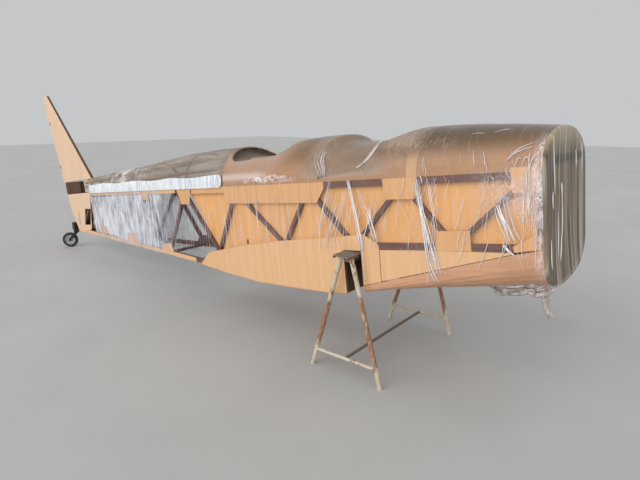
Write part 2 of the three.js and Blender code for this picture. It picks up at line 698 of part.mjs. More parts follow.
// Fork and wheel, swung on the swivel
const caster = new THREE.Group();
caster.rotation.z = THREE.MathUtils.degToRad(CASTER.swing);
tailWheel.add(caster);
function fork() {
  const { trail, radius, legInner, legOuter, crownLow, crownHigh, axle, axleOver, bridge } = CASTER;
  const { crownRadius, legWide, eye } = SWIVEL;
  const cheeks = [[-legOuter, -legInner], [legInner, legOuter]];
  const legs = cheeks.map(([y0, y1]) => strut([0, crownLow], [-trail, radius], legWide, y0, y1));
  const eyes = cheeks.map(([y0, y1]) => {
    const round = new THREE.CylinderGeometry(eye, eye, y1 - y0, 24);
    return toSolid(round.translate(-trail, (y0 + y1) / 2, radius));
  });
  const pin = new THREE.CylinderGeometry(axle, axle, 2 * (legOuter + axleOver), 16);
  const tops = block(-bridge, bridge, -legOuter, legOuter, crownLow, crownHigh);
  const crownDisc = discOf(crownRadius, crownLow, crownHigh);
  return join([crownDisc, tops, ...legs, ...eyes, toSolid(pin.translate(-trail, 0, radius))]);
}
addTo(caster, 'caster_fork', fork(), blackSteel);

const wheelGroup = new THREE.Group();
wheelGroup.position.set(-CASTER.trail, 0, CASTER.radius);
wheelGroup.rotation.x = Math.PI / 2;
caster.add(wheelGroup);

// Wheel pieces: one half of a closed profile of radius and half-width, turned about the axle
const wheelSolid = (half, segments) => (
  turned([...half.map(([radius, wide]) => [radius, -wide]), ...half.toReversed()], segments)
);
function rimSolid() {
  const { rim, hubHalf, hub, web, bore, tyre, flange } = CASTER;
  const half = tyre - 3;
  const edge = rim - flange;
  return wheelSolid([
    [bore, hubHalf], [hub, hubHalf], [hub + 2, web], [edge - 3, web], [edge, half], [rim - GAP, half],
  ], 36);
}
function tyreSolid() {
  const { rim, tyre, radius, shoulder } = CASTER;
  const round = [0, 1, 2, 3].map((step) => {
    const angle = (Math.PI / 2) * (step / 3);
    return [radius - shoulder * (1 - Math.sin(angle)), tyre - shoulder * (1 - Math.cos(angle))];
  });
  return wheelSolid([[rim, tyre - 4], [rim + 6, tyre], ...round], 44);
}
addTo(wheelGroup, 'wheel_rim', rimSolid(), alloy);
addTo(wheelGroup, 'wheel_tyre', tyreSolid(), rubber);

export default glider;
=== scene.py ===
"""A bare wooden glider fuselage with its fin, wrapped in clear film, on a trestle and a tail wheel."""

import json
import math
import random

import bmesh
import bpy
from bpy.props import FloatProperty, FloatVectorProperty, IntProperty, PointerProperty
from mathutils import Matrix, Vector, noise


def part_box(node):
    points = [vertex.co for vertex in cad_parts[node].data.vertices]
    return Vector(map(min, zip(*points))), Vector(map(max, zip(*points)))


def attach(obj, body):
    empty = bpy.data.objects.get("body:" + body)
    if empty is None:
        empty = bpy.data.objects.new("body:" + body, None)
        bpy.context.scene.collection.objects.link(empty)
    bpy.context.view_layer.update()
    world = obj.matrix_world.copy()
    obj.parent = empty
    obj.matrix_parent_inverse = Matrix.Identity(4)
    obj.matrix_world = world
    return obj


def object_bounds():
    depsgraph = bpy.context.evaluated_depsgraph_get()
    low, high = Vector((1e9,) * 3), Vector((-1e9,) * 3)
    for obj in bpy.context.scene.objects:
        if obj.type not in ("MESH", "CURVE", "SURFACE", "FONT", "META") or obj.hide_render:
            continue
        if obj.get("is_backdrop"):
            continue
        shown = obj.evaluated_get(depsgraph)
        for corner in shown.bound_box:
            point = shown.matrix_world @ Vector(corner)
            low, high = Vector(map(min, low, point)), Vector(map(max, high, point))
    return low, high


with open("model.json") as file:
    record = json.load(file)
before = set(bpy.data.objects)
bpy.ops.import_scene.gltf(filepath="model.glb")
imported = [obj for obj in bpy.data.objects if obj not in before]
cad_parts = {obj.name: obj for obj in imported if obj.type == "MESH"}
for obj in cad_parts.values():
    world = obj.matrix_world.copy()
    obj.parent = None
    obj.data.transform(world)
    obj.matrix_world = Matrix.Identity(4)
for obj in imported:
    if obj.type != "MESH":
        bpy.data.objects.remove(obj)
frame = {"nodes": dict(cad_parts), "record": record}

bl_info = {
    "name": "Glider Fuselage Under Restoration",
    "version": (1, 0, 0),
    "blender": (4, 5, 0),
    "location": "View3D > Sidebar > Glider",
    "description": "Finishes the wooden fuselage, its wrapping film, the trestle and the tail wheel",
    "category": "Object",
}

CAD_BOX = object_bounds()
SIDES = {"starboard": -1, "port": 1}

# The fuselage's own frame: stations run aft from the nose ring and heights from the side's upper edge
PITCH = math.radians(6.84)
SEAM = Vector((2.846, -0.0225, 1.2911))
HULL = Matrix.Translation(SEAM) @ Matrix.Rotation(-PITCH, 4, "Y")

# Outer shape of the fuselage in metres: station, then half-width or height
PLAN = [
    (-0.06, 0.385), (1.25, 0.385), (1.9, 0.345), (2.6, 0.27), (3.2, 0.2), (4.0, 0.125), (5.0, 0.05),
    (5.45, 0.032),
]
CROWN = [
    (0, 0.182), (0.2, 0.209), (0.41, 0.232), (0.6, 0.245), (1.0, 0.256), (1.42, 0.27), (1.75, 0.262),
    (2.15, 0.269), (2.52, 0.275), (2.83, 0.27), (3.12, 0.254), (3.6, 0.218), (4.18, 0.188), (4.7, 0.154),
    (4.9, 0.145),
]
CHINE = [(0, -0.35), (0.135, -0.379), (0.5, -0.477), (0.85, -0.572), (0.972, -0.605)]
KEEL = [
    (0, -0.572), (0.135, -0.585), (0.5, -0.615), (0.85, -0.648), (0.978, -0.666), (1.1, -0.667),
    (1.536, -0.679), (1.889, -0.68), (2.318, -0.653), (2.65, -0.62), (3.5, -0.567), (4.7, -0.485),
    (5.235, -0.445),
]

# How square the sections are, how far the belly's and the keel's edges rise, and where the wheel slot starts
DECK_POWER = 2.2
BELLY_POWER = 2.6
KEEL_POWER = 9.0
BELLY_EDGE = 0.026
KEEL_EDGE = 0.02
SLOT_FORE = 0.975

# Front cockpit opening in plan: station of the fore end, aft end and widest part, and half-width there
FRONT_OPENING = (0.69, 1.25, 0.96, 0.3)

# Rear cockpit opening in plan: station, half-width
REAR_OPENING = [
    (1.592, 0.15), (1.602, 0.236), (1.62, 0.256), (1.65, 0.268), (1.72, 0.276), (1.96, 0.271), (2.06, 0.268),
    (2.105, 0.26), (2.148, 0.236), (2.182, 0.18), (2.205, 0.1), (2.213, 0.02),
]

# Sill of the front opening where it runs low along both sides: station, height
FRONT_SILL = [(0.9, 0.165), (0.905, 0.11), (0.94, 0.062), (1.05, 0.042), (1.2, 0.03), (1.25, 0.014)]

# How the film sinks into the openings: how deep, and over which length it comes up again at the ends
FRONT_SAG, FRONT_END = 0.058, 0.16
REAR_SAG, REAR_END = 0.1, 0.05

# The rear sag's lowest height, how flat it is across, how steep its rim is, and how far a sag draws in
REAR_FOOT, REAR_FLATNESS, REAR_STEEPNESS = 0.02, 3, 0.45
SAG_NARROWS = 0.25

# Longerons: station, height of the middle; how deep they are
UPPER_LONGERON = [(0, -0.019), (5.33, -0.019)]
LOWER_LONGERON = [
    (0, -0.346), (0.85, -0.369), (1.3, -0.383), (2.0, -0.446), (2.65, -0.592), (3.5, -0.546), (4.7, -0.464),
    (5.235, -0.424),
]
LONGERON_DEPTH = 0.036

# Trusses behind the cabin: pale plywood plates on their joints, as outlines of stations and heights
AFT_GUSSETS = [
    [(4.228, 0), (4.071, 0), (4.085, -0.055), (4.215, -0.055)],
    [(3.563, 0), (3.413, 0), (3.43, -0.092), (3.545, -0.092)],
    [(3.25, -0.483), (3.118, -0.475), (3.085, -0.584), (3.312, -0.57)],
    [(3.976, -0.411), (3.797, -0.42), (3.769, -0.521), (4.004, -0.505)],
    [(4.614, -0.347), (4.53, -0.352), (4.4, -0.455), (4.625, -0.45)],
]


def lerp(table, station):
    """Value of a table of stations at one station."""
    if station <= table[0][0]:
        return table[0][1]
    for (s0, v0), (s1, v1) in zip(table, table[1:]):
        if station <= s1:
            return v0 + (v1 - v0) * (station - s0) / (s1 - s0)
    return table[-1][1]


def steps(first, last, gap):
    """Even places from the first to the last, about a gap apart."""
    count = max(2, round((last - first) / gap))
    return [first + (last - first) * i / count for i in range(count + 1)]


def hull(station, y, z):
    """A point of the fuselage's own frame, in the part's frame."""
    return HULL @ Vector((-station, y, z))


def rounded(angle, half, rise, power, foot=0.0):
    """A point of a superellipse from starboard, over or under, to port."""
    c, s = math.cos(angle), math.sin(angle)
    y = -half * math.copysign(abs(c) ** (2 / power), c)
    return y, foot + rise * abs(s) ** (2 / power)


def section(station, lift, under=20, side=14, over=44):
    """Points (y, z) around the fuselage at a station, lifted off its surface, from keel to starboard."""
    half = lerp(PLAN, station) + lift
    keel = lerp(KEEL, station) - lift
    belly = station < SLOT_FORE
    foot = lerp(CHINE, station) - BELLY_EDGE if belly else keel + KEEL_EDGE
    power = BELLY_POWER if belly else KEEL_POWER
    bottom = [rounded(math.pi * i / under, half, keel - foot, power, foot) for i in range(under + 1)]
    starboard = [(-half, foot - foot * i / side) for i in range(1, side)]
    port = [(-y, z) for y, z in reversed(starboard)]
    rise = lerp(CROWN, station) + lift
    deck = [rounded(math.pi * i / over, half, rise, DECK_POWER) for i in range(over + 1)]
    keel_to_chine = bottom[: under // 2 + 1][::-1]
    chine_to_keel = bottom[under // 2 + 1:][::-1]
    return keel_to_chine + starboard + deck + port + chine_to_keel


def egg_depth(opening, station, y):
    """1 at the middle of an egg-shaped opening in plan and 0 at its rim and beyond."""
    fore, aft, wide, half = opening
    reach = wide - fore if station < wide else aft - wide
    radius = math.hypot((station - wide) / reach, y / half)
    return max(0.0, 1 - radius * radius)


def front_depth(station, y, z):
    """The same for the front opening, whose sill runs low along both sides behind its widest part."""
    fore, aft, _, _ = FRONT_OPENING
    if z <= 0 or not fore < station < aft:
        return 0.0
    sill, _ = FRONT_SILL[0]
    if station < sill:
        return egg_depth(FRONT_OPENING, station, y)
    low, high = lerp(FRONT_SILL, station), FRONT_SILL[0][1]
    rise = max(0.0, min(1.0, (z - low) / (high - low)))
    ending = min(1.0, (aft - station) / FRONT_END)
    return rise * math.sin(math.pi / 2 * ending)


def rear_depth(station, y, z):
    """The same for the rear opening."""
    fore, aft = REAR_OPENING[0][0], REAR_OPENING[-1][0]
    if z <= REAR_FOOT or not fore < station < aft:
        return 0.0
    across = max(0.0, 1 - (abs(y) / lerp(REAR_OPENING, station)) ** REAR_FLATNESS)
    return across * min(1.0, (station - fore) / REAR_END) * min(1.0, (aft - station) / REAR_END)


# Height below any part of the fuselage, and the least share of a lift that goes sideways
BELOW_ALL = -2.0
LEAST_SIDEWAYS = 0.3


def skin(side, station, z, lift=0.0):
    """A point on one side of the fuselage at a height, on the side itself, the deck or the belly."""
    half, rise = lerp(PLAN, station), lerp(CROWN, station)
    chine = lerp(CHINE, station) - BELLY_EDGE if station < SLOT_FORE else BELOW_ALL
    if z > 0:
        share = (1 - min(1.0, z / rise) ** DECK_POWER) ** (1 / DECK_POWER)
    elif z < chine:
        drop = (chine - z) / (chine - lerp(KEEL, station))
        share = max(0.0, 1 - min(1.0, drop) ** BELLY_POWER) ** (1 / BELLY_POWER)
    else:
        share = 1.0
    up = lift * (1 - share) * (1 if z > 0 else -1)
    return hull(station, side * (half * share + lift * max(LEAST_SIDEWAYS, share)), z + up)


def within(outline, station, z):
    """Whether a place lies inside an outline of stations and heights."""
    inside = False
    for (s0, z0), (s1, z1) in zip(outline, outline[1:] + outline[:1]):
        if (z0 > z) != (z1 > z) and station < s0 + (s1 - s0) * (z - z0) / (z1 - z0):
            inside = not inside
    return inside


def mesh_piece(name, vertices, faces, material, body="root", smooth=True):
    """A piece from plain vertices and faces, finished, riding on a body."""
    mesh = bpy.data.meshes.new(name)
    mesh.from_pydata([tuple(v) for v in vertices], [], faces)
    mesh.validate()
    piece = bpy.data.objects.new(name, mesh)
    bpy.context.scene.collection.objects.link(piece)
    mesh.materials.append(material)
    if smooth:
        mesh.shade_smooth()
    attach(piece, body)
    return piece


def solid_piece(name, bodies, material, body="root", smooth=False):
    """One piece from closed bodies, each a pair of vertices and faces, with all faces turned outwards."""
    whole = bmesh.new()
    for vertices, faces in bodies:
        corners = [whole.verts.new(v) for v in vertices]
        sides = [whole.faces.new([corners[i] for i in face]) for face in faces]
        bmesh.ops.recalc_face_normals(whole, faces=sides)
    whole.verts.index_update()
    vertices = [v.co.copy() for v in whole.verts]
    faces = [tuple(v.index for v in face.verts) for face in whole.faces]
    whole.free()
    return mesh_piece(name, vertices, faces, material, body, smooth)


def prism(low, high):
    """A closed body between two outlines of one count."""
    count = len(low)
    faces = [tuple(range(count)), tuple(range(count, 2 * count))]
    faces += [(i, (i + 1) % count, count + (i + 1) % count, count + i) for i in range(count)]
    return [*low, *high], faces


def block(low, high):
    """A box from its two corners."""
    (x0, y0, z0), (x1, y1, z1) = low, high
    return prism([(x0, y0, z0), (x1, y0, z0), (x1, y1, z0), (x0, y1, z0)],
                 [(x0, y0, z1), (x1, y0, z1), (x1, y1, z1), (x0, y1, z1)])


def side_plate(side, outline, lift, thick):
    """A flat plate on one side of the fuselage, from an outline of stations and heights."""
    return prism(*[[skin(side, s, z, lift + t) for s, z in outline] for t in (0.0, thick)])


# Folds of film: least share of the width at the tips, how they taper, and how far the foot goes under
FOLD_TIP, FOLD_TAPER, FOLD_FOOT = 0.12, 0.6, 0.2

# Step off the skin by which its outward direction is found
NORMAL_STEP = 0.02


def strip_body(rows):
    """A closed strip of four-cornered sections."""
    last = len(rows) - 1
    faces = []
    for i in range(last):
        a, b = 4 * i, 4 * i + 4
        faces += [(a + k, a + (k + 1) % 4, b + (k + 1) % 4, b + k) for k in range(4)]
    faces += [(0, 1, 2, 3), tuple(4 * last + k for k in range(4))]
    return [corner for row in rows for corner in row], faces


def ribbon(side, stations, middle, depth, lift, thick):
    """A strip of ply along a longeron, from a table of the heights of its middle."""
    rows = []
    for station in stations:
        z = lerp(middle, station)
        corners = ((depth / 2, 0), (depth / 2, thick), (-depth / 2, thick), (-depth / 2, 0))
        rows.append([skin(side, station, z + up, lift + out) for up, out in corners])
    return strip_body(rows)


def fold(points, normals, width, thick):
    """A thin fold of film that tapers to nothing at both ends: a closed strip with a ridge."""
    rows = []
    last = len(points) - 1
    for i, (point, normal) in enumerate(zip(points, normals)):
        along = (points[min(i + 1, last)] - points[max(i - 1, 0)]).normalized()
        side = along.cross(normal).normalized()
        share = max(FOLD_TIP, math.sin(math.pi * i / last)) ** FOLD_TAPER
        half, rise = 0.5 * width * share, thick * share
        ridge, foot = point + normal * rise, point - normal * FOLD_FOOT * rise
        rows.append((point + side * half, ridge, point - side * half, foot))
    return strip_body(rows)


def curve_points(route, count):
    """Even points along a smooth curve through a route of stations and heights."""
    made = []
    for i in range(count + 1):
        t = (len(route) - 1) * i / count
        k = min(int(t), len(route) - 2)
        share = t - k
        p0, p1, p2, p3 = (Vector(route[max(0, min(len(route) - 1, k + d))]) for d in (-1, 0, 1, 2))
        m1, m2 = (p2 - p0) / 2, (p3 - p1) / 2
        square, cube = share * share, share ** 3
        made.append((2 * cube - 3 * square + 1) * p1 + (cube - 2 * square + share) * m1
                    + (3 * square - 2 * cube) * p2 + (cube - square) * m2)
    return made


def side_fold(side, route, width, lift, count=10, thick=0.0011):
    """A fold that follows one side of the fuselage along a route of stations and heights."""
    flat = curve_points(route, count)
    points = [skin(side, s, z, lift) for s, z in flat]
    normals = [(skin(side, s, z, lift + NORMAL_STEP) - p).normalized() for (s, z), p in zip(flat, points)]
    return fold(points, normals, width, thick)


def ring_faces(rows, count, keep=None):
    """Quads between closed rings, without those that keep turns down."""
    faces = []
    for r in range(rows - 1):
        for i in range(count):
            j = (i + 1) % count
            if keep is None or keep(r, i):
                faces.append((r * count + i, r * count + j, (r + 1) * count + j, (r + 1) * count + i))
    return faces


def without_loose(faces):
    """Numbers of the vertices that faces use, and the faces renumbered to them."""
    used = sorted({v for face in faces for v in face})
    number = {old: new for new, old in enumerate(used)}
    return used, [tuple(number[v] for v in face) for face in faces]


def store(piece, name, values):
    """Stores one value with each vertex, for the finish to read."""
    layer = piece.data.attributes.new(name, "FLOAT", "POINT")
    layer.data.foreach_set("value", values)


# Colour sockets of the Mix node
MIX_COLOURS, MIX_RESULT = (6, 7), 2


class Finish:
    """A material and short ways to add and join its nodes. Patterns run in the fuselage's own frame."""

    def __init__(self, name, in_hull=True):
        self.material = bpy.data.materials.new(name)
        self.material.use_nodes = True
        self.tree = self.material.node_tree
        self.surface = self.tree.nodes["Principled BSDF"]
        place = self.node("TexCoord").outputs["Object"]
        if in_hull:
            turn = self.node("Mapping", vector_type="TEXTURE")
            turn.inputs["Location"].default_value = SEAM
            turn.inputs["Rotation"].default_value = (0, -PITCH, 0)
            self.join(place, turn.inputs["Vector"])
            place = turn.outputs["Vector"]
        self.place = place

    def node(self, kind, **settings):
        made = self.tree.nodes.new("ShaderNode" + kind)
        for key, value in settings.items():
            setattr(made, key, value)
        return made

    def join(self, source, target):
        self.tree.links.new(source, target)

    def give(self, socket, value):
        """Joins a socket, or sets its plain value."""
        if isinstance(value, bpy.types.NodeSocket):
            self.join(value, socket)
        else:
            socket.default_value = value

    def scaled(self, scale, shift=(0, 0, 0), lean=0.0):
        """Coordinates stretched for a pattern, which leans aft by an angle if one is given."""
        mapping = self.node("Mapping", vector_type="TEXTURE")
        self.join(self.place, mapping.inputs["Vector"])
        mapping.inputs["Scale"].default_value = tuple(1 / s for s in scale)
        mapping.inputs["Rotation"].default_value = (0, math.radians(lean), 0)
        mapping.inputs["Location"].default_value = shift
        return mapping.outputs["Vector"]

    def noise(self, scale, detail=4.0, rough=0.55, bend=0.0, shift=(0, 0, 0), lean=0.0):
        made = self.node("TexNoise")
        self.join(self.scaled(scale, shift, lean), made.inputs["Vector"])
        made.inputs["Scale"].default_value = 1.0
        made.inputs["Detail"].default_value = detail
        made.inputs["Roughness"].default_value = rough
        made.inputs["Distortion"].default_value = bend
        return made.outputs["Fac"]

    def math(self, operation, a, b=0.0, clamp=False):
        made = self.node("Math", operation=operation, use_clamp=clamp)
        self.give(made.inputs[0], a)
        self.give(made.inputs[1], b)
        return made.outputs[0]

    def times(self, first, *others):
        """Values multiplied in turn."""
        for other in others:
            first = self.math("MULTIPLY", first, other)
        return first

    def plus(self, first, *others):
        """Values added in turn."""
        for other in others:
            first = self.math("ADD", first, other)
        return first

    def most(self, a, b):
        return self.math("MAXIMUM", a, b)

    def least(self, a, b):
        return self.math("MINIMUM", a, b)

    def span(self, value, low, high, to_low=0.0, to_high=1.0, smooth=False):
        made = self.node("MapRange", interpolation_type="SMOOTHSTEP" if smooth else "LINEAR")
        self.join(value, made.inputs["Value"])
        for name, number in zip(("From Min", "From Max", "To Min", "To Max"), (low, high, to_low, to_high)):
            made.inputs[name].default_value = number
        return made.outputs["Result"]

    def mix(self, share, first, second, kind="MIX"):
        made = self.node("Mix", data_type="RGBA", blend_type=kind)
        self.give(made.inputs["Factor"], share)
        for index, value in zip(MIX_COLOURS, (first, second)):
            self.give(made.inputs[index], value if isinstance(value, bpy.types.NodeSocket) else rgba(value))
        return made.outputs[MIX_RESULT]

    def stored(self, name):
        """A value stored with the mesh, vertex by vertex."""
        return self.node("Attribute", attribute_name=name).outputs["Fac"]

    def axis(self, index):
        split = self.node("SeparateXYZ")
        self.join(self.place, split.inputs[0])
        return split.outputs[index]

    def station_and_height(self):
        """The two coordinates that places on the fuselage are given in."""
        return self.times(self.axis(0), -1.0), self.axis(2)

    def bump(self, height, strength, distance=0.002):
        made = self.node("Bump")
        made.inputs["Strength"].default_value = strength
        made.inputs["Distance"].default_value = distance
        self.join(height, made.inputs["Height"])
        self.join(made.outputs["Normal"], self.surface.inputs["Normal"])

    def set(self, **values):
        for key, value in values.items():
            self.give(self.surface.inputs[key.replace("_", " ")], value)
        return self.material


def rgba(colour):
    """A colour that hides all behind it."""
    return (*tuple(colour)[:3], 1.0)


def toned(colour, share):
    """A colour darkened to a share of itself."""
    return tuple(share * c for c in tuple(colour)[:3])


# Wood: grain runs along the given axis of the fuselage
GRAIN = {"along": (2.4, 62, 62), "up": (62, 62, 2.4), "across": (62, 2.4, 62)}
FIGURE = {"along": (0.7, 7, 7), "up": (7, 7, 0.7), "across": (7, 0.7, 7)}
STRIP = {"along": (0.4, 26, 26), "up": (26, 26, 0.6), "across": (22, 0.5, 22)}

# How close the figure's lines lie, and how dark the strips and the stains are
FIGURE_LINES = 58.0
STRIP_TONE, STAIN_TONE = 0.84, 0.72


def wood(name, pale, deep, grain="along", figure=0.35, rough=0.45, stain=0.35, bend=0.25):
    """Varnished or bare wood with fibres, a wavy rotary-cut figure and broad stains."""
    f = Finish(name)
    fibres = f.noise(GRAIN[grain], detail=8, rough=0.68, bend=bend)
    broad = f.noise(FIGURE[grain], detail=2, rough=0.5, bend=0.4)
    waves = f.math("SINE", f.times(broad, FIGURE_LINES))
    lines = f.span(waves, -0.4, 1.0, 0.0, figure, smooth=True)
    share = f.math("ADD", f.span(fibres, 0.3, 0.72, 0.0, 0.65), lines, clamp=True)
    ground = f.mix(share, pale, deep)
    strips = f.noise(STRIP[grain], detail=1, rough=0.5, bend=0.1, shift=(0.7, 2.3, 1.1))
    ground = f.mix(f.span(strips, 0.45, 0.6, 0.0, 0.5), ground, toned(pale, STRIP_TONE))
    patch = f.noise((1.9, 2.6, 2.6), detail=3, rough=0.6, shift=(3.1, 0.4, 1.7))
    stained = f.span(patch, 0.45, 0.75, 0.0, stain, smooth=True)
    colour = f.mix(stained, ground, toned(deep, STAIN_TONE))
    f.bump(fibres, 0.12, 0.0012)
    sheen = f.span(fibres, 0.2, 0.8, rough - 0.08, rough + 0.12)
    return f.set(Base_Color=colour, Roughness=sheen, Specular_IOR_Level=0.3)


def plain(name, colour, other, rough=0.6, metal=0.0, scale=30.0, low=0.4, high=0.7, strength=0.15):
    """Paint, steel or rubber in two tones broken up by patches, with a fine uneven surface."""
    f = Finish(name, in_hull=False)
    patch = f.noise((scale, scale, scale), detail=6, rough=0.65)
    fine = f.noise((scale * 14,) * 3, detail=4, rough=0.6)
    colour = f.mix(f.span(patch, low, high, smooth=True), colour, other)
    f.bump(f.plus(patch, f.times(fine, 0.5)), strength, 0.0015)
    sheen = f.span(patch, 0.2, 0.8, rough - 0.12, rough + 0.15)
    return f.set(Base_Color=colour, Metallic=metal, Roughness=sheen)


# Heights on the trestle's legs where worn paint begins and where it ends, each as a span
WORN_FROM, WORN_TO = (0.1, 0.2), (0.36, 0.62)


def worn_steel(name, paint, rust, bare):
    """Light paint, worn through to orange rust halfway down the legs and in spots elsewhere."""
    f = Finish(name, in_hull=False)
    large = f.noise((9, 9, 5), detail=5, rough=0.7, bend=0.6)
    small = f.noise((80, 80, 26), detail=6, rough=0.7)
    both = f.plus(f.times(large, 0.6), f.times(small, 0.4))
    height = f.axis(2)
    middle = f.times(f.span(height, *WORN_FROM, smooth=True), f.span(height, *WORN_TO, 1.0, 0.0, smooth=True))
    worn = f.span(f.plus(both, f.times(middle, 0.17)), 0.53, 0.62, smooth=True)
    rusted = f.mix(f.span(small, 0.38, 0.62), rust, bare)
    dirt = f.noise((30, 30, 12), detail=3, shift=(1, 4, 2))
    stained = f.mix(f.span(dirt, 0.4, 0.75, 0.0, 0.45), paint, rust)
    f.bump(both, 0.35, 0.002)
    sheen = f.span(both, 0.3, 0.7, 0.5, 0.85)
    return f.set(Base_Color=f.mix(worn, stained, rusted), Metallic=0.0, Roughness=sheen)


# Fine lines in the film: fore and aft station, lean in degrees, lines a metre, first and last share shown
FRONT_LINES = [
    (0.02, 0.7, -14, 150, 0.60, 0.50), (0.3, 1.2, -22, 110, 0.61, 0.45), (1.1, 2.4, 0, 210, 0.55, 0.42),
    (0.45, 0.62, 15, 130, 0.56, 0.50), (1.4, 2.3, 3, 90, 0.60, 0.35),
]
AFT_LINES = [(2.0, 3.1, 1, 160, 0.56, 0.5), (3.0, 4.8, 4, 90, 0.52, 0.6), (3.2, 4.8, -9, 60, 0.55, 0.5)]

# Colours of the film over the cabin, from its sides to the decks, the cockpit's haze, and the white of
# gathered film with painted glints and reflection on it
SIDE_CLEAR = (0.85, 0.76, 0.73)
DECK_MILK = (0.34, 0.225, 0.14)
CROWN_BROWN = (0.115, 0.07, 0.037)
REAR_DECK_PINK = (0.62, 0.46, 0.37)
SEAM_PALE = (0.92, 0.78, 0.7)
HAZE_BROWNS = (0.345, 0.235, 0.155), (0.275, 0.195, 0.135)
GATHERED_AND_GLINT_WHITE = (0.95, 0.86, 0.86)

# Painted shade of the rear cockpit's hollow, on the film sunk into it: at its bottom, and darker by its rim
WELL_SHADE_COLOURS = (0.215, 0.145, 0.1), (0.06, 0.04, 0.028)

# Colours of the film over the open truss, its hoops and the shining lines on it
TRUSS_BLUES = (0.5, 0.52, 0.6), (0.8, 0.83, 0.9)
TRUSS_GREY = (0.46, 0.43, 0.5)
HOOP_BROWNS = (0.285, 0.235, 0.2), (0.43, 0.36, 0.31)
SHINE_WHITE = (0.93, 0.92, 0.93)

# Colours of the film over the nose: its ground, its folds in shade and light, and what shows through it
NOSE_BROWNS = (0.2, 0.15, 0.105), (0.47, 0.365, 0.265)
NOSE_SHADE, NOSE_LIGHT = (0.04, 0.028, 0.02), (0.82, 0.74, 0.63)
NOSE_UPPER = (0.46, 0.36, 0.24)
NOSE_BEAM = (0.05, 0.038, 0.03)
NOSE_FAR = (0.09, 0.085, 0.05)


def stretch(f, value, first, last, fade, smooth=True):
    """1 between two places and 0 beyond them, with soft ends."""
    rise = f.span(value, first - fade, first + fade, smooth=smooth)
    return f.times(rise, f.span(value, last - fade, last + fade, 1.0, 0.0, smooth=smooth))


def film_lines(f, station, table):
    """Bright lines where the layers of film overlap, each set in its own stretch of the fuselage."""
    shares = []
    for i, (fore, aft, lean, fine, first, strength) in enumerate(table):
        lines = f.noise((fine, 2.6, 1.6), detail=2, rough=0.5, bend=0.1, shift=(0.3 * i, 0, 0), lean=lean)
        thin = f.math("POWER", f.span(lines, first, 0.8), 1.4)
        place = stretch(f, station, fore, aft, 0.06, smooth=False)
        shares.append(f.times(thin, f.times(place, 2.2 * strength)))
    return f.plus(*shares)


def creases(f, scale, width, bend=1.6, shift=(0, 0, 0)):
    """Thin crooked lines of light on crumpled film."""
    cloud = f.noise(scale, detail=5, rough=0.72, bend=bend, shift=shift)
    ridge = f.math("ABSOLUTE", f.math("SUBTRACT", cloud, 0.5))
    return f.span(ridge, 0.0, width, 1.0, 0.0, smooth=True)


def film_surface(f, colour, alpha, height, rough, strength=0.5):
    """See-through film with a thin bright coat, dented by a pattern."""
    f.bump(height, strength, 0.003)
    f.material.surface_render_method = "BLENDED"
    return f.set(Base_Color=colour, Roughness=rough, Alpha=alpha, Specular_IOR_Level=0.25,
                 Coat_Weight=0.1, Coat_Roughness=0.1)


def lit(f, *shares):
    """Several shares of white film added up, at most 1."""
    return f.least(f.plus(*shares), 1.0)


def paint_well_shade(f, alpha, colour):
    """Paints the shade of the rear cockpit's hollow onto the film sunk into it, darkest by the rim."""
    depth = f.stored("rear_well")
    # Share of painted shade where the film sinks in, and the darker painted shade by the rim
    sunk = f.span(depth, 0.0, 0.06, smooth=True)
    rim = f.span(depth, 0.1, 0.5, 1.0, 0.0, smooth=True)
    return f.most(alpha, f.times(sunk, 0.9)), f.mix(sunk, colour, f.mix(rim, *WELL_SHADE_COLOURS))


def cockpit_haze(f, station, height):
    """Haze over the front cockpit, which starts further fore high on the deck."""
    haze = f.times(stretch(f, station, 0.8, 1.36, 0.1), f.span(height, 0.0, 0.07, smooth=True))
    high = f.times(stretch(f, station, 0.62, 1.0, 0.06), f.span(height, 0.1, 0.17, smooth=True))
    return f.most(haze, high)


def deck_crumple(f, station, height):
    """White creases here and there, and a torn white patch low on the rear deck."""
    patch = f.span(f.noise((3.4, 3.4, 5), detail=2, shift=(7, 1, 4)), 0.5, 0.68, smooth=True)
    crumple = f.times(creases(f, (38, 16, 22), 0.03), f.times(patch, 0.12))
    low = f.times(stretch(f, station, 1.45, 1.92, 0.06), stretch(f, height, 0.01, 0.06, 0.012))
    torn = f.span(f.noise((16, 30, 40), detail=5, rough=0.7, bend=1.0, shift=(4, 2, 3)), 0.47, 0.62)
    return f.most(crumple, f.times(low, torn, 0.6))


def nose_gather_reflection(f, station, height):
    """Film gathered at the nose's edge, its white partly a painted reflection on the crumpled film."""
    thick = f.span(f.noise((50, 30, 13), detail=6, rough=0.72, bend=1.6, shift=(1, 1, 3)), 0.44, 0.62)
    near = f.span(station, 0.012, 0.055, 1.0, 0.0, smooth=True)
    edge = f.times(near, stretch(f, height, -0.48, 0.11, 0.07))
    return f.times(edge, f.span(thick, 0.0, 1.0, 0.14, 0.68))


def nose_crinkle_glints(f, station, height):
    """Small crinkles behind the nose's edge, their white specks and lines painted glints."""
    small = creases(f, (95, 50, 60), 0.07, shift=(3, 1, 2))
    specks = f.span(f.noise((60, 40, 60), detail=4, rough=0.7, shift=(8, 3, 1)), 0.5, 0.62)
    near = f.span(station, 0.04, 0.42, 1.0, 0.0, smooth=True)
    spread = f.times(near, stretch(f, height, -0.2, 0.0, 0.08))
    return f.times(f.most(small, specks), spread, 0.55)


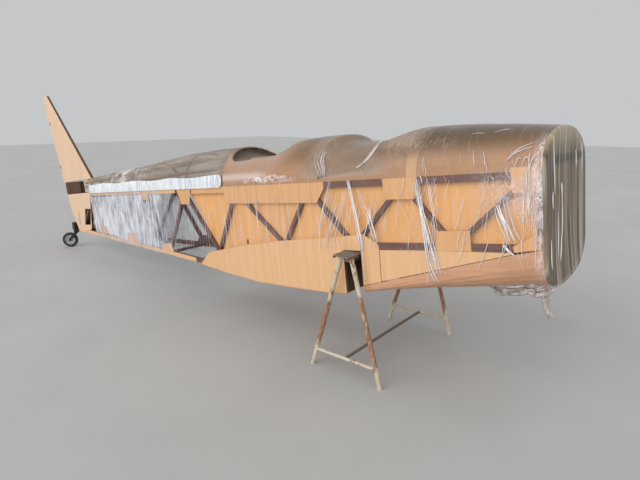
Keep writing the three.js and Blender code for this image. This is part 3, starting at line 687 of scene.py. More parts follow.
def front_film(s):
    """Clear film over the cabin: nearly invisible on the sides, a milky brown where it lies on the decks."""
    f = Finish("film_front")
    station, height = f.station_and_height()
    cloud = f.noise((5, 8, 5), detail=3, shift=(5, 2, 1))
    top = f.span(height, 0.0, 0.16, smooth=True)
    crown = f.times(f.span(height, 0.05, 0.21, smooth=True), f.span(station, 1.2, 1.5, 1.0, 0.4))
    haze = cockpit_haze(f, station, height)

    # The pinker veil on the rear deck, and its pale lower edge
    aft = f.times(stretch(f, station, 1.56, 2.6, 0.12), f.span(height, -0.02, 0.02))
    seam = f.times(stretch(f, station, 1.7, 2.6, 0.1), stretch(f, height, 0.035, 0.085, 0.022))

    shown = f.span(top, 0.0, 0.5, s.threads, 0.25 * s.threads)
    lines = f.times(film_lines(f, station, FRONT_LINES), shown)
    # The gathered film at the nose is partly painted reflection
    gathered = nose_gather_reflection(f, station, height)
    # The crinkles behind the nose hold painted glints
    crumple, crinkles = deck_crumple(f, station, height), nose_crinkle_glints(f, station, height)
    bright = lit(f, lines, crumple, gathered, crinkles)

    veil = f.plus(s.haze, f.times(f.span(cloud, 0.4, 0.7), 0.03))
    veil = f.plus(veil, f.plus(f.times(top, 0.1), f.times(crown, 0.72)))
    alpha = f.plus(veil, f.times(aft, 0.1), f.times(seam, 0.3), bright)
    alpha = f.most(alpha, f.times(haze, 0.82))
    body = f.mix(top, SIDE_CLEAR, DECK_MILK)
    body = f.mix(crown, body, CROWN_BROWN)
    body = f.mix(aft, body, REAR_DECK_PINK)
    body = f.mix(seam, body, SEAM_PALE)
    body = f.mix(haze, body, f.mix(f.span(cloud, 0.35, 0.65), *HAZE_BROWNS))
    # White of the gathered film, with painted glints and reflection on it
    white = f.least(f.times(bright, 3.0), 1.0)
    # The film sunk into the rear cockpit takes painted shade
    alpha, colour = paint_well_shade(f, alpha, f.mix(white, body, GATHERED_AND_GLINT_WHITE))
    ridges = f.plus(f.noise((26, 12, 12), detail=5, bend=1.2), f.plus(lines, gathered))
    return film_surface(f, colour, f.least(alpha, 0.92), ridges, 0.22)


def aft_film(s):
    """Film over the open truss: clear behind the cockpits, then ever whiter, and brown over the hoops."""
    f = Finish("film_aft")
    station, height = f.station_and_height()
    side = f.span(height, -0.01, 0.02, 1.0, 0.0)
    over = f.math("SUBTRACT", 1.0, side)
    streak = f.noise((9, 4, 3.2), detail=5, rough=0.58, bend=1.3, lean=3)
    fine = f.noise((60, 20, 9), detail=3, rough=0.5, bend=0.5, lean=4, shift=(2, 1, 0))
    along = f.noise((1.6, 12, 12), detail=4, rough=0.6, bend=0.5, shift=(3, 5, 2))
    mist = f.noise((5, 5, 5), detail=3, rough=0.6, bend=0.5, shift=(5, 5, 1))

    # The sides, with streaks and creases, and less film where it lies on the wood
    reach = f.plus(station, f.span(mist, 0.3, 0.7, -0.22, 0.22))
    white = f.times(f.span(reach, 2.85, 3.75, smooth=True), side)
    cloudy = f.times(white, f.span(streak, 0.34, 0.6, 0.45, 0.8))
    crumple = f.times(white, f.times(creases(f, (34, 14, 13), 0.05), 0.3))
    clear = f.times(side, f.span(fine, 0.5, 0.72), 0.1)
    lines = f.times(film_lines(f, station, AFT_LINES), f.times(side, s.threads))
    bare = f.span(f.stored("touch"), 0.0, 1.0, 1.0, 0.42)

    # The hoops, with torn creases halfway along
    hoops = f.times(over, f.span(along, 0.35, 0.65, 0.44, 0.64))
    torn = f.times(creases(f, (30, 26, 26), 0.09), f.span(mist, 0.47, 0.56))
    blotch = f.times(over, torn, f.times(stretch(f, station, 3.6, 4.3, 0.2), 0.4))

    alpha = f.times(lit(f, cloudy, clear, hoops, lines, crumple, blotch), bare)
    blue = f.mix(f.span(streak, 0.38, 0.62), *TRUSS_BLUES)
    blue = f.mix(f.span(fine, 0.5, 0.68, 0.0, 0.5), blue, TRUSS_GREY)
    brown = f.mix(f.span(along, 0.38, 0.66), *HOOP_BROWNS)
    shine = f.least(f.times(f.plus(lines, blotch), 2.5), 1.0)
    colour = f.mix(shine, f.mix(over, blue, brown), SHINE_WHITE)
    # The film sunk into the rear cockpit takes painted shade
    alpha, colour = paint_well_shade(f, alpha, colour)
    return film_surface(f, colour, f.least(alpha, 0.9), f.plus(streak, crumple), 0.25)


def nose_film():
    """Film stretched over the open nose, dull brown with upright folds of light and shade."""
    f = Finish("film_nose")
    upright = f.noise((4, 24, 0.9), detail=4, rough=0.6, bend=0.4)
    broad = f.noise((2, 9, 0.7), detail=2, shift=(1, 5, 2))
    height, across = f.axis(2), f.axis(1)
    light = f.math("POWER", f.span(upright, 0.52, 0.68), 1.3)
    beam = f.times(stretch(f, height, 0.012, 0.052, 0.008), f.span(across, -0.27, -0.22))
    rim = f.most(f.span(across, 0.24, 0.34), f.span(height, 0.1, 0.16))
    colour = f.mix(f.span(broad, 0.4, 0.6), *NOSE_BROWNS)
    colour = f.mix(f.span(upright, 0.36, 0.46, 0.85, 0.0), colour, NOSE_SHADE)
    colour = f.mix(f.span(height, 0.06, 0.13), colour, NOSE_UPPER)
    colour = f.mix(f.times(beam, 0.7), colour, NOSE_BEAM)
    colour = f.mix(f.span(across, 0.27, 0.36), colour, NOSE_FAR)
    colour = f.mix(f.times(light, 0.85), colour, NOSE_LIGHT)
    alpha = lit(f, f.span(broad, 0.3, 0.7, 0.68, 0.85), f.times(light, 0.15), f.times(rim, 0.12))
    f.material.surface_render_method = "BLENDED"
    f.bump(upright, 0.6, 0.003)
    return f.set(Base_Color=colour, Roughness=0.3, Alpha=f.least(alpha, 0.95), Specular_IOR_Level=0.14)


# Film in several layers: its light and dark colour, least and most cover, and the scale of its clouds
WHITE_FILMS = {
    "film_folds": ((0.98, 0.96, 0.98), (0.8, 0.76, 0.8), 0.5, 0.9, (24, 9, 5)),
    # The glint film paints the highlights on the nose's folds
    "film_glint": ((1, 1, 0.98), (0.9, 0.88, 0.84), 0.85, 1.0, (24, 9, 5)),
    "film_bunch": ((0.78, 0.72, 0.71), (0.3, 0.22, 0.17), 0.3, 0.8, (16, 16, 16)),
    # The band's bluish white is a painted reflection of the sky
    "film_band": ((0.84, 0.88, 0.91), (0.52, 0.57, 0.65), 0.8, 0.97, (24, 9, 5)),
}


def white_film(name):
    """Film in several layers, gathered white."""
    f = Finish(name)
    colour, dark, low, high, scale = WHITE_FILMS[name]
    cloud = f.noise(scale, detail=5, rough=0.65, bend=1.1)
    light = creases(f, (46, 24, 24), 0.05)
    alpha = lit(f, f.span(cloud, 0.3, 0.62, low, high), f.times(light, 0.3))
    return film_surface(f, f.mix(f.span(cloud, 0.3, 0.6), dark, colour), alpha, cloud, 0.18, 0.8)


def floor_finish(colour):
    """A pale floor, a little cloudy."""
    f = Finish("studio_floor", in_hull=False)
    cloud = f.noise((0.8, 0.8, 0.8), detail=4, rough=0.6)
    return f.set(Base_Color=f.mix(f.span(cloud, 0.3, 0.7), colour, toned(colour, 0.9)), Roughness=0.7)


class GliderWoods(bpy.types.PropertyGroup):
    """Colours of the fuselage's woods."""

    side: FloatVectorProperty(name="Side plywood", description="Varnished plywood behind the side truss",
                              default=(0.86, 0.45, 0.175), subtype="COLOR", size=3)
    plate: FloatVectorProperty(name="New plywood", description="Bare plywood, keel sides and aft plates",
                               default=(0.8, 0.48, 0.245), subtype="COLOR", size=3)
    patch: FloatVectorProperty(name="Gusset plywood", description="Yellower plywood, gussets and side bands",
                               default=(0.755, 0.41, 0.18), subtype="COLOR", size=3)
    deck: FloatVectorProperty(name="Deck plywood", description="Brown varnished plywood of the decks",
                              default=(0.455, 0.24, 0.118), subtype="COLOR", size=3)
    strip: FloatVectorProperty(name="Strip plywood", description="Narrow strip across the front deck",
                               default=(0.62, 0.36, 0.18), subtype="COLOR", size=3)
    member: FloatVectorProperty(name="Stained members", description="Longerons and braces of the side truss",
                                default=(0.19, 0.092, 0.072), subtype="COLOR", size=3)
    belly: FloatVectorProperty(name="Belly plywood", description="Reddish plywood under the nose",
                               default=(0.68, 0.36, 0.2), subtype="COLOR", size=3)
    fin: FloatVectorProperty(name="Fin plywood", description="Pale plywood of the fin and tail",
                             default=(0.8, 0.56, 0.385), subtype="COLOR", size=3)
    frame: FloatVectorProperty(name="Frame spruce", description="Bare spruce of the frames and hoops",
                               default=(0.45, 0.27, 0.15), subtype="COLOR", size=3)
    dark: FloatVectorProperty(name="Dark wood", description="Stern post, spar and leading strip",
                              default=(0.1, 0.046, 0.022), subtype="COLOR", size=3)


class GliderFilm(bpy.types.PropertyGroup):
    """The clear stretch film wrapped round the fuselage."""

    lift: FloatProperty(name="Lift", description="Space between the wood and the film", default=0.0065,
                        min=0.004, max=0.012, unit="LENGTH")
    haze: FloatProperty(name="Haze", description="How milky the film is where it is smooth", default=0.02,
                        min=0.0, max=0.5, subtype="FACTOR")
    threads: FloatProperty(name="Threads", description="Strength of the bright lines", default=0.5,
                           min=0.0, max=1.0, subtype="FACTOR")
    strays: IntProperty(name="Stray folds", description="How many thin folds of film are made, in percent",
                        default=100, min=0, max=200, subtype="PERCENTAGE")
    fold: FloatProperty(name="Fold width", description="Width of one thin fold of film", default=0.0036,
                        min=0.0005, max=0.01, unit="LENGTH")


class GliderStudio(bpy.types.PropertyGroup):
    """Floor, lights and camera."""

    floor: FloatVectorProperty(name="Floor", description="Colour of the studio floor",
                               default=(0.5, 0.5, 0.49), subtype="COLOR", size=3)
    sky: FloatProperty(name="Sky", description="Strength of the even light", default=0.62, min=0.0, max=4.0)
    door: FloatProperty(name="Door light", description="Strength of the broad light from the camera's side",
                        default=2.15, min=0.0, max=10.0)
    height: FloatProperty(name="Camera height", description="Height of the lens over the floor", default=1.5,
                          unit="LENGTH")
    lens: FloatProperty(name="Lens", description="Focal length on a 36 mm sensor", default=27.26,
                        min=10, max=100)


# Half the floor's side, the sky's colour, and the camera's place in plan, bearing, tilt and sensor
FLOOR_REACH = 30.0
SKY_COLOUR = (0.9, 0.92, 0.94)
CAMERA_PLACE = (3.4146, -2.6195)
CAMERA_BEARING = (-0.6289, 0.7775)
CAMERA_DOWN = math.radians(13.93)
SENSOR = 36.0

# Broad lights: aim, share of the door light's strength, spread in degrees, colour
SUNS = {
    "door_light": ((0.15, 1.0, -0.42), 1.0, 70, (1.0, 0.985, 0.96)),
    "roof_light": ((-0.5, 0.2, -1.0), 0.15, 90, (0.96, 0.98, 1.0)),
}


def soft_sun(name, aim, strength, spread, colour):
    """A broad light from far away, so that it falls off nowhere."""
    lamp = bpy.data.lights.new(name, "SUN")
    lamp.energy = strength
    lamp.angle = math.radians(spread)
    lamp.color = colour
    stand = bpy.data.objects.new(name, lamp)
    stand.rotation_euler = Vector(aim).to_track_quat("-Z", "Y").to_euler()
    bpy.context.scene.collection.objects.link(stand)


class GLIDER_OT_studio(bpy.types.Operator):
    """Makes the pale floor, the soft light and the camera."""

    bl_idname = "glider.studio"
    bl_label = "Studio"

    def execute(self, context):
        s = context.scene.glider_studio
        self.floor(s)
        self.light(s)
        self.camera(s)
        context.scene.view_settings.view_transform = "Standard"
        return {"FINISHED"}

    def floor(self, s):
        corners = [(x * FLOOR_REACH, y * FLOOR_REACH, 0) for x, y in ((-1, -1), (1, -1), (1, 1), (-1, 1))]
        mesh = bpy.data.meshes.new("floor")
        mesh.from_pydata(corners, [], [(0, 1, 2, 3)])
        floor = bpy.data.objects.new("floor", mesh)
        bpy.context.scene.collection.objects.link(floor)
        mesh.materials.append(floor_finish(s.floor))
        floor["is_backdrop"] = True

    def light(self, s):
        world = bpy.data.worlds.new("studio_sky")
        world.use_nodes = True
        background = world.node_tree.nodes["Background"]
        background.inputs["Color"].default_value = rgba(SKY_COLOUR)
        background.inputs["Strength"].default_value = s.sky
        bpy.context.scene.world = world
        for name, (aim, share, spread, colour) in SUNS.items():
            soft_sun(name, aim, share * s.door, spread, colour)

    def camera(self, s):
        camera = bpy.data.cameras.new("photo_camera")
        camera.lens = s.lens
        camera.sensor_width = SENSOR
        camera.clip_end = 100.0
        eye = bpy.data.objects.new("photo_camera", camera)
        eye.location = (*CAMERA_PLACE, s.height)
        level = math.cos(CAMERA_DOWN)
        aim = Vector((CAMERA_BEARING[0] * level, CAMERA_BEARING[1] * level, -math.sin(CAMERA_DOWN)))
        eye.rotation_euler = aim.to_track_quat("-Z", "Y").to_euler()
        bpy.context.scene.collection.objects.link(eye)
        bpy.context.scene.camera = eye


# Woods by material slot: their colour in the settings, how deep the grain is, and how they differ
WOODS = {
    "stained_spruce": ("member", 0.45, dict(rough=0.5, figure=0.3)),
    "side_plywood": ("side", 0.72, dict(grain="up", figure=0.1, stain=0.2)),
    "new_plywood": ("plate", 0.78, dict(grain="up", figure=0.1, stain=0.12)),
    "gusset_plywood": ("patch", 0.78, dict(grain="up", figure=0.1, stain=0.12)),
    "strip_plywood": ("strip", 0.78, dict(grain="across", figure=0.1, stain=0.15)),
    "deck_plywood": ("deck", 0.72, dict(grain="across", figure=0.12, stain=0.25)),
    "belly_plywood": ("belly", 0.68, dict(figure=0.22, stain=0.25)),
    "fin_plywood": ("fin", 0.76, dict(grain="up", figure=0.15, stain=0.15)),
    "frame_spruce": ("frame", 0.6, dict(rough=0.55)),
    "dark_stained_wood": ("dark", 0.45, dict(grain="up", rough=0.5)),
}

# Steel, alloy and rubber by material slot: two tones, and how they differ
PLAINS = {
    "rusty_steel": ((0.175, 0.15, 0.13), (0.23, 0.165, 0.125), dict(rough=0.75, strength=0.5)),
    "black_steel": ((0.025, 0.023, 0.022), (0.07, 0.05, 0.04), dict(rough=0.45, metal=0.6)),
    "wheel_alloy": ((0.5, 0.5, 0.5), (0.3, 0.3, 0.29), dict(rough=0.4, metal=0.85)),
    "tyre_rubber": ((0.018, 0.018, 0.019), (0.05, 0.048, 0.045), dict(rough=0.75, scale=60)),
}

# The trestle's paint, its rust and the steel under it
TRESTLE_TONES = (0.6, 0.56, 0.43), (0.44, 0.21, 0.1), (0.2, 0.12, 0.08)

# Nodes whose name starts so have a finish of their own
OWN_FINISH = {"gusset": "gusset_plywood", "band": "gusset_plywood", "deck_strip": "strip_plywood"}


def finishes(w):
    """The finish of each material slot of the record, and of the nodes that have their own."""
    made = {"worn_painted_steel": worn_steel("worn_painted_steel", *TRESTLE_TONES)}
    for name, (colour, tone, looks) in WOODS.items():
        pale = getattr(w, colour)
        made[name] = wood(name, pale, toned(pale, tone), **looks)
    for name, (colour, other, looks) in PLAINS.items():
        made[name] = plain(name, colour, other, **looks)
    return made


class GLIDER_OT_finishes(bpy.types.Operator):
    """Gives every node of the frame the finish of its material slot."""

    bl_idname = "glider.finishes"
    bl_label = "Wood, steel and rubber"

    def execute(self, context):
        made = finishes(context.scene.glider_woods)
        for entry in frame["record"]["subparts"]:
            piece = frame["nodes"][entry["node"]]
            own = [finish for start, finish in OWN_FINISH.items() if entry["node"].startswith(start)]
            piece.data.materials.clear()
            piece.data.materials.append(made[own[0] if own else entry["material_slot"]])
        return {"FINISHED"}


# Ply on the aft trusses: lift and thickness of the plates, and of the strips along the longerons
GUSSET_LIFT, GUSSET_THICK = 0.0035, 0.0012
CAP_LIFT, CAP_THICK, CAP_STEP = 0.002, 0.001, 0.07

# The strips along the longerons: fore and aft station, and the longeron
CAPS = [(2.72, 5.2, LOWER_LONGERON), (2.92, 4.76, UPPER_LONGERON)]


class GLIDER_OT_aft_plates(bpy.types.Operator):
    """Covers the joints and longerons of the aft trusses with pale ply."""

    bl_idname = "glider.aft_plates"
    bl_label = "Aft plates"

    def execute(self, context):
        w = context.scene.glider_woods
        pale = wood("aft_plates", w.plate, toned(w.plate, 0.8), grain="up", figure=0.08, stain=0.1)
        for word, side in SIDES.items():
            plates = [side_plate(side, outline, GUSSET_LIFT, GUSSET_THICK) for outline in AFT_GUSSETS]
            plates += [ribbon(side, steps(fore, aft, CAP_STEP), longeron, LONGERON_DEPTH, CAP_LIFT, CAP_THICK)
                       for fore, aft, longeron in CAPS]
            solid_piece(f"aft_plates_{word}", plates, pale)
        return {"FINISHED"}


# Small slots and slits, as thin dark plates of painted shade on a node: its name, corners as stations and
# heights
SLOT_SHADE_MARKS = [
    ("fin", [(5.576, 0.845), (5.592, 0.845), (5.59, 0.811), (5.574, 0.811)]),
    ("fin", [(5.477, 0.333), (5.494, 0.333), (5.494, 0.297), (5.477, 0.297)]),
    ("tail_panel", [(5.153, -0.219), (5.159, -0.219), (5.187, -0.368), (5.18, -0.368)]),
    ("lining", [(1.997, -0.384), (2.013, -0.384), (2.018, -0.418), (1.999, -0.418)]),
    ("gusset_nose", [(0.021, -0.311), (0.028, -0.311), (0.028, -0.319), (0.021, -0.319)]),
]
MARK_GAP, MARK_THICK = 0.0001, 0.0008

# Raised edges of the trestle beam's wide plate, outside the fuselage: how wide, their ends, foot and top
LIP_WIDE, LIP_INNER, LIP_OUTER = 0.003, 0.412, 0.525
LIP_FOOT, LIP_TOP = 0.742, 0.754


class GLIDER_OT_details(bpy.types.Operator):
    """Adds painted shade in the small slots and slits of the fin and sides, and the raised edges of the
    trestle's plate.
    """

    bl_idname = "glider.details"
    bl_label = "Small details"

    def execute(self, context):
        # Dark plates paint the shade inside the slots and slits
        dark = plain("dark_gap", (0.02, 0.012, 0.008), (0.04, 0.022, 0.014))
        steel = bpy.data.materials["rusty_steel"]
        (plate_aft, _, _), (plate_fore, _, _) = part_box("trestle_beam")
        for word, side in SIDES.items():
            marks = []
            for name, corners in SLOT_SHADE_MARKS:
                marks.append(self.mark(name if name == "fin" else f"{name}_{word}", side, corners))
            solid_piece(f"dark_marks_{word}", marks, dark)
            near, far = sorted((side * LIP_INNER, side * LIP_OUTER))
            edges = ((plate_aft, plate_aft + LIP_WIDE), (plate_fore - LIP_WIDE, plate_fore))
            lips = [block((low, near, LIP_FOOT), (high, far, LIP_TOP)) for low, high in edges]
            solid_piece(f"plate_lips_{word}", lips, steel)
        return {"FINISHED"}

    def mark(self, name, side, corners):
        """A thin plate that lies on the outer face of a node, found by a ray from its side."""
        node = frame["nodes"][name]
        back = node.matrix_world.inverted()
        inner, outer = [], []
        for station, z in corners:
            start = hull(station, side, z)
            way = hull(station, 0, z) - start
            found, place, _, _ = node.ray_cast(back @ start, (back.to_3x3() @ way).normalized())
            if not found:
                raise RuntimeError(f"no face of {name} at station {station}, height {z}")
            spot = node.matrix_world @ place
            inner.append(spot - way * MARK_GAP)
            outer.append(spot - way * MARK_THICK)
        return prism(inner, outer)


# Waves a metre in the film, along and round it, and finer ones where it spans the front cockpit
RIPPLE_WAVES = (9, 5)
PULL_WAVES = (30, 12)
PULL_PHASE, PULL_HEIGHT = 7.5, 0.006

# Share of a longeron's depth, from its middle, on which the film lies
TOUCH_SHARE = 0.75


def touches_wood(station, z):
    """Whether the film lies on a joint plate or a longeron of the aft truss."""
    half = TOUCH_SHARE * LONGERON_DEPTH
    near = any(abs(z - lerp(longeron, station)) < half for longeron in (UPPER_LONGERON, LOWER_LONGERON))
    return near or any(within(outline, station, z) for outline in AFT_GUSSETS)


def swell(*place):
    """Smooth random height at a place, from -1 to 1."""
    return noise.noise(Vector(place))


def film_rings(stations, lift, ripple, seed, side):
    """Rings of the wrapping film, rippled outwards and sunk into the cockpits, with what its finish reads."""
    along, round_it = RIPPLE_WAVES
    pull_along, pull_across = PULL_WAVES
    points, readings = [], []
    for station in stations:
        for y, z in section(station, lift, side=side):
            front, rear = front_depth(station, y, z), rear_depth(station, y, z)
            wave = ripple * max(0.0, swell(station * along + seed, y * round_it, z * round_it))
            out = Vector((0, y, z)).normalized() * wave
            pull = swell(station * pull_along, y * pull_across, PULL_PHASE) * PULL_HEIGHT
            pull *= min(1.0, 4 * front)
            sag = FRONT_SAG * math.sin(math.pi / 2 * front) + REAR_SAG * rear ** REAR_STEEPNESS
            points.append(hull(station, (y + out.y) * (1 - SAG_NARROWS * sag), z + out.z - sag + pull))
            readings.append((rear, float(touches_wood(station, z))))
    return points, readings


# Where the film makes room for the trestle's beam: fore and aft station, and height
TRESTLE_CLEAR = (0.9, 1.16, -0.42)

# Wraps of film: finish, fore and aft station, height of the ripples, their seed, and points down each side
WRAP_JOIN = 2.19
WRAPS = {
    "film_wrap_front": (front_film, 0.0, WRAP_JOIN, 0.003, 1.0, 14),
    "film_wrap_aft": (aft_film, WRAP_JOIN, 4.76, 0.004, 4.0, 44),
}
WRAP_STEP = 0.014

# Twice the fuselage's mean height, for a wrap's girth
TWICE_HEIGHT = 1.5

# Film over the nose: radius of its edge, middle height, how far it sinks in, rings round the edge and inside
NOSE_EDGE, NOSE_MIDDLE, NOSE_DISH = 0.016, -0.19, 0.012
NOSE_TURNS = 6
NOSE_SHARES = (0.9, 0.75, 0.6, 0.45, 0.3, 0.15, 0.05)


class GLIDER_OT_film(bpy.types.Operator):
    """Wraps the fuselage in clear film."""

    bl_idname = "glider.film"
    bl_label = "Wrapping film"

    def execute(self, context):
        s = context.scene.glider_film
        for name, (finish, fore, aft, *ripples) in WRAPS.items():
            self.wrap(name, steps(fore, aft, WRAP_STEP), s.lift, finish(s), *ripples)
        self.nose(s.lift)
        return {"FINISHED"}

    def wrap(self, name, stations, lift, material, ripple, seed, side):
        points, readings = film_rings(stations, lift, ripple, seed, side)
        outline = [section(station, lift, side=side) for station in stations]
        fore, aft, height = TRESTLE_CLEAR

        def keep(row, i):
            return not (fore < stations[row] < aft and outline[row][i][1] < height)

        used, faces = without_loose(ring_faces(len(stations), len(outline[0]), keep))
        piece = mesh_piece(name, [points[v] for v in used], faces, material)
        store(piece, "rear_well", [readings[v][0] for v in used])
        store(piece, "touch", [readings[v][1] for v in used])
        girth = 2 * (lerp(PLAN, stations[0]) + lerp(PLAN, stations[-1])) + TWICE_HEIGHT

    def nose(self, lift):
        """Film over the open nose, from rings: station, how far in from the outline, share of its size."""
        rings = []
        for turn in range(NOSE_TURNS):
            angle = math.pi / 2 * turn / (NOSE_TURNS - 1)
            rings.append((-NOSE_EDGE * math.sin(angle), NOSE_EDGE * (1 - math.cos(angle)), 1.0))
        for share in NOSE_SHARES:
            rings.append((-NOSE_EDGE + NOSE_DISH * (1 - share ** 2), NOSE_EDGE, share))
        base = section(0.0, lift)
        vertices = []
        for station, inset, share in rings:
            for y, z in base:
                scale = share * (1 - inset / math.hypot(y, z - NOSE_MIDDLE))
                vertices.append(hull(station, y * scale, NOSE_MIDDLE + (z - NOSE_MIDDLE) * scale))
        count = len(base)
        faces = ring_faces(len(rings), count)
        faces.append(tuple(range((len(rings) - 1) * count, len(rings) * count)))
        piece = mesh_piece("film_nose", vertices, faces, nose_film())


# White band of overlapping film along the open deck, its bluish white a painted reflection of the sky: its
# ends, and its low and high edge
BAND = (2.2, 4.75, -0.006, 0.083)

# The band's lift off the wrap, round fore corners, quads across and along, ripples and its flat width
BAND_LIFT, BAND_ROUND = 0.0065, 0.05
BAND_COLUMNS, BAND_STEP = 8, 0.012
BAND_RIPPLE, BAND_WAVE = 0.0025, 0.06


class GLIDER_OT_film_band(bpy.types.Operator):
    """Lays the white band of overlapping film, painted as a reflection of the sky, along both sides of the
    open deck.
    """

    bl_idname = "glider.film_band"
    bl_label = "White film band"

    def execute(self, context):
        lift = context.scene.glider_film.lift + BAND_LIFT
        material = white_film("film_band")
        fore, aft, low, high = BAND
        rows, across = steps(fore, aft, BAND_STEP), BAND_COLUMNS + 1
        for word, side in SIDES.items():
            vertices = []
            for station in rows:
                near = max(0.0, 1 - (station - fore) / BAND_ROUND)
                corner = 0.5 * (1 - math.sqrt(max(0.0, 1 - near * near)))
                for k in range(across):
                    share = corner + (1 - 2 * corner) * k / BAND_COLUMNS
                    ripple = BAND_RIPPLE * swell(station * 14, share * 3, side)
                    z = low + (high - low) * share * (1 + BAND_WAVE * math.sin(station * 9))
                    vertices.append(skin(side, station, z, lift + ripple))
            faces = [(r * across + k, r * across + k + 1, (r + 1) * across + k + 1, (r + 1) * across + k)
                     for r in range(len(rows) - 1) for k in range(BAND_COLUMNS)]
            piece = mesh_piece(f"film_band_{word}", vertices, faces, material)
        return {"FINISHED"}


# Gathered strands of film: how many folds, how far they spread, share of the fold width, stations and heights
STRANDS = [
    (8, 0.045, 1.3, [(1.025, 0.004), (1.014, -0.061), (0.995, -0.177), (0.98, -0.293), (0.966, -0.4)]),
    (3, 0.02, 0.9, [(0.958, -0.36), (0.95, -0.48), (0.948, -0.575)]),
    (8, 0.045, 1.2, [
        (0.595, -0.009), (0.585, -0.126), (0.556, -0.243), (0.534, -0.335), (0.51, -0.42), (0.486, -0.5),
    ]),
    (5, 0.03, 1.2, [(0.584, -0.01), (0.575, -0.139), (0.558, -0.323), (0.541, -0.455), (0.505, -0.55)]),
    (3, 0.02, 0.9, [(0.533, -0.025), (0.523, -0.101), (0.503, -0.236), (0.496, -0.294)]),
    (2, 0.03, 0.7, [(0.501, -0.013), (0.496, -0.102), (0.491, -0.204)]),
    (6, 0.045, 1.2, [(0.198, -0.144), (0.183, -0.196), (0.161, -0.249), (0.14, -0.31)]),
    (3, 0.03, 0.9, [(0.163, -0.098), (0.132, -0.237), (0.101, -0.318)]),
    (4, 0.03, 1.2, [(0.175, -0.33), (0.155, -0.355), (0.132, -0.378)]),
    (3, 0.03, 1.0, [(1.15, 0.002), (1.188, -0.101), (1.221, -0.176), (1.268, -0.316)]),
    (3, 0.05, 0.8, [(1.096, -0.117), (1.134, -0.206), (1.186, -0.337)]),
    (4, 0.06, 0.8, [(1.036, -0.06), (1.074, -0.162), (1.134, -0.297)]),
    (3, 0.03, 0.9, [(0.965, -0.048), (0.923, -0.148), (0.882, -0.255), (0.867, -0.369)]),
    (4, 0.04, 0.9, [(0.898, -0.149), (0.889, -0.234), (0.857, -0.347)]),
    (5, 0.05, 0.8, [(0.96, 0.066), (0.92, 0.09), (0.885, 0.13), (0.87, 0.17), (0.86, 0.2)]),
    (7, 0.06, 0.8, [(1.2, 0.03), (1.215, 0.08), (1.24, 0.12), (1.25, 0.17)]),
]

# Fine arcs and hooks on the front deck by the nose
ARCS = [
    [(0.155, 0.045), (0.13, 0.075), (0.1, 0.1), (0.04, 0.122)],
    [(0.145, 0.05), (0.12, 0.078), (0.08, 0.095), (0.05, 0.102)],
    [(0.115, 0.02), (0.105, 0.045), (0.098, 0.06), (0.085, 0.052)],
    [(0.085, 0.02), (0.075, 0.05), (0.065, 0.062), (0.055, 0.05)],
    [(0.05, 0.0), (0.045, 0.04), (0.03, 0.066), (0.018, 0.06)],
    [(0.39, 0.176), (0.34, 0.183), (0.29, 0.178)],
    [(0.25, 0.178), (0.21, 0.186), (0.17, 0.182)],
]

# Bright folds over the open nose, whose white is painted highlight: routes across and up, and how wide
NOSE_HIGHLIGHT_FOLDS = [
    ([(-0.291, 0.143), (-0.294, 0.045), (-0.286, -0.052), (-0.284, -0.12)], 1.5),
    ([(-0.165, -0.075), (-0.158, -0.1), (-0.157, -0.15)], 4.0),
    ([(-0.16, -0.1), (-0.158, -0.25), (-0.175, -0.36)], 2.0),
    ([(-0.172, -0.32), (-0.182, -0.39), (-0.195, -0.44)], 3.6),
    ([(0.119, 0.062), (0.125, 0.03), (0.126, -0.03)], 1.5),
    ([(0.112, 0.0), (0.135, 0.005), (0.16, -0.005)], 1.2),
    ([(-0.352, -0.31), (-0.352, -0.39), (-0.342, -0.45)], 2.2),
    ([(-0.315, -0.1), (-0.322, -0.14), (-0.312, -0.18)], 1.2),
    ([(0.25, 0.1), (0.26, 0.03), (0.255, -0.06)], 0.8),
    ([(-0.235, -0.2), (-0.232, -0.3), (-0.24, -0.42)], 0.7),
]

# Stray folds: how many, fore and aft station, top and bottom height, lean aft per metre of drop, longest
STRAYS = [
    (34, 1.22, 2.2, 0.04, -0.42, 0.02, 0.5),
    (8, 1.55, 1.95, 0.06, -0.3, 0.05, 0.4),
    (30, 0.72, 1.2, -0.02, -0.4, 0.3, 0.3),
    (40, 0.12, 0.8, 0.02, -0.5, 0.3, 0.2),
    (14, 0.1, 0.6, 0.12, -0.04, -0.25, 0.12),
    (26, 0.01, 0.09, 0.1, -0.5, 0.02, 0.2),
    (26, 2.2, 3.1, 0.0, -0.5, 0.04, 0.45),
    (34, 3.1, 4.74, -0.02, -0.5, 0.06, 0.3),
]

# Gathered film under the near corner of the nose: routes as station, y and height, widths of their folds
BUNCH = [
    ([
        (0.31, -0.185, -0.592), (0.243, -0.19, -0.61), (0.168, -0.19, -0.6), (0.096, -0.2, -0.585),
        (0.03, -0.21, -0.565),
    ], 0.02),
    ([
        (0.305, -0.185, -0.6), (0.28, -0.18, -0.63), (0.2, -0.18, -0.618), (0.1, -0.19, -0.6),
        (0.03, -0.2, -0.58),
    ], 0.026),
    ([(0.21, -0.28, -0.565), (0.13, -0.29, -0.548), (0.06, -0.3, -0.528), (0.01, -0.3, -0.505)], 0.02),
    ([(0.16, -0.2, -0.6), (0.1, -0.2, -0.613), (0.05, -0.2, -0.602), (0.0, -0.2, -0.57)], 0.022),
    ([(0.07, -0.2, -0.59), (0.06, -0.2, -0.62), (0.048, -0.2, -0.67), (0.034, -0.2, -0.71)], 0.018),
    ([(0.04, -0.2, -0.58), (0.045, -0.2, -0.63), (0.03, -0.2, -0.7), (0.025, -0.2, -0.73)], 0.014),
]

# Folds over the wrap: how far above it, the seed of their random places, thickness of a strand's folds
FOLD_LIFT, FOLD_SEED, STRAND_THICK = 0.0045, 11, 0.0022

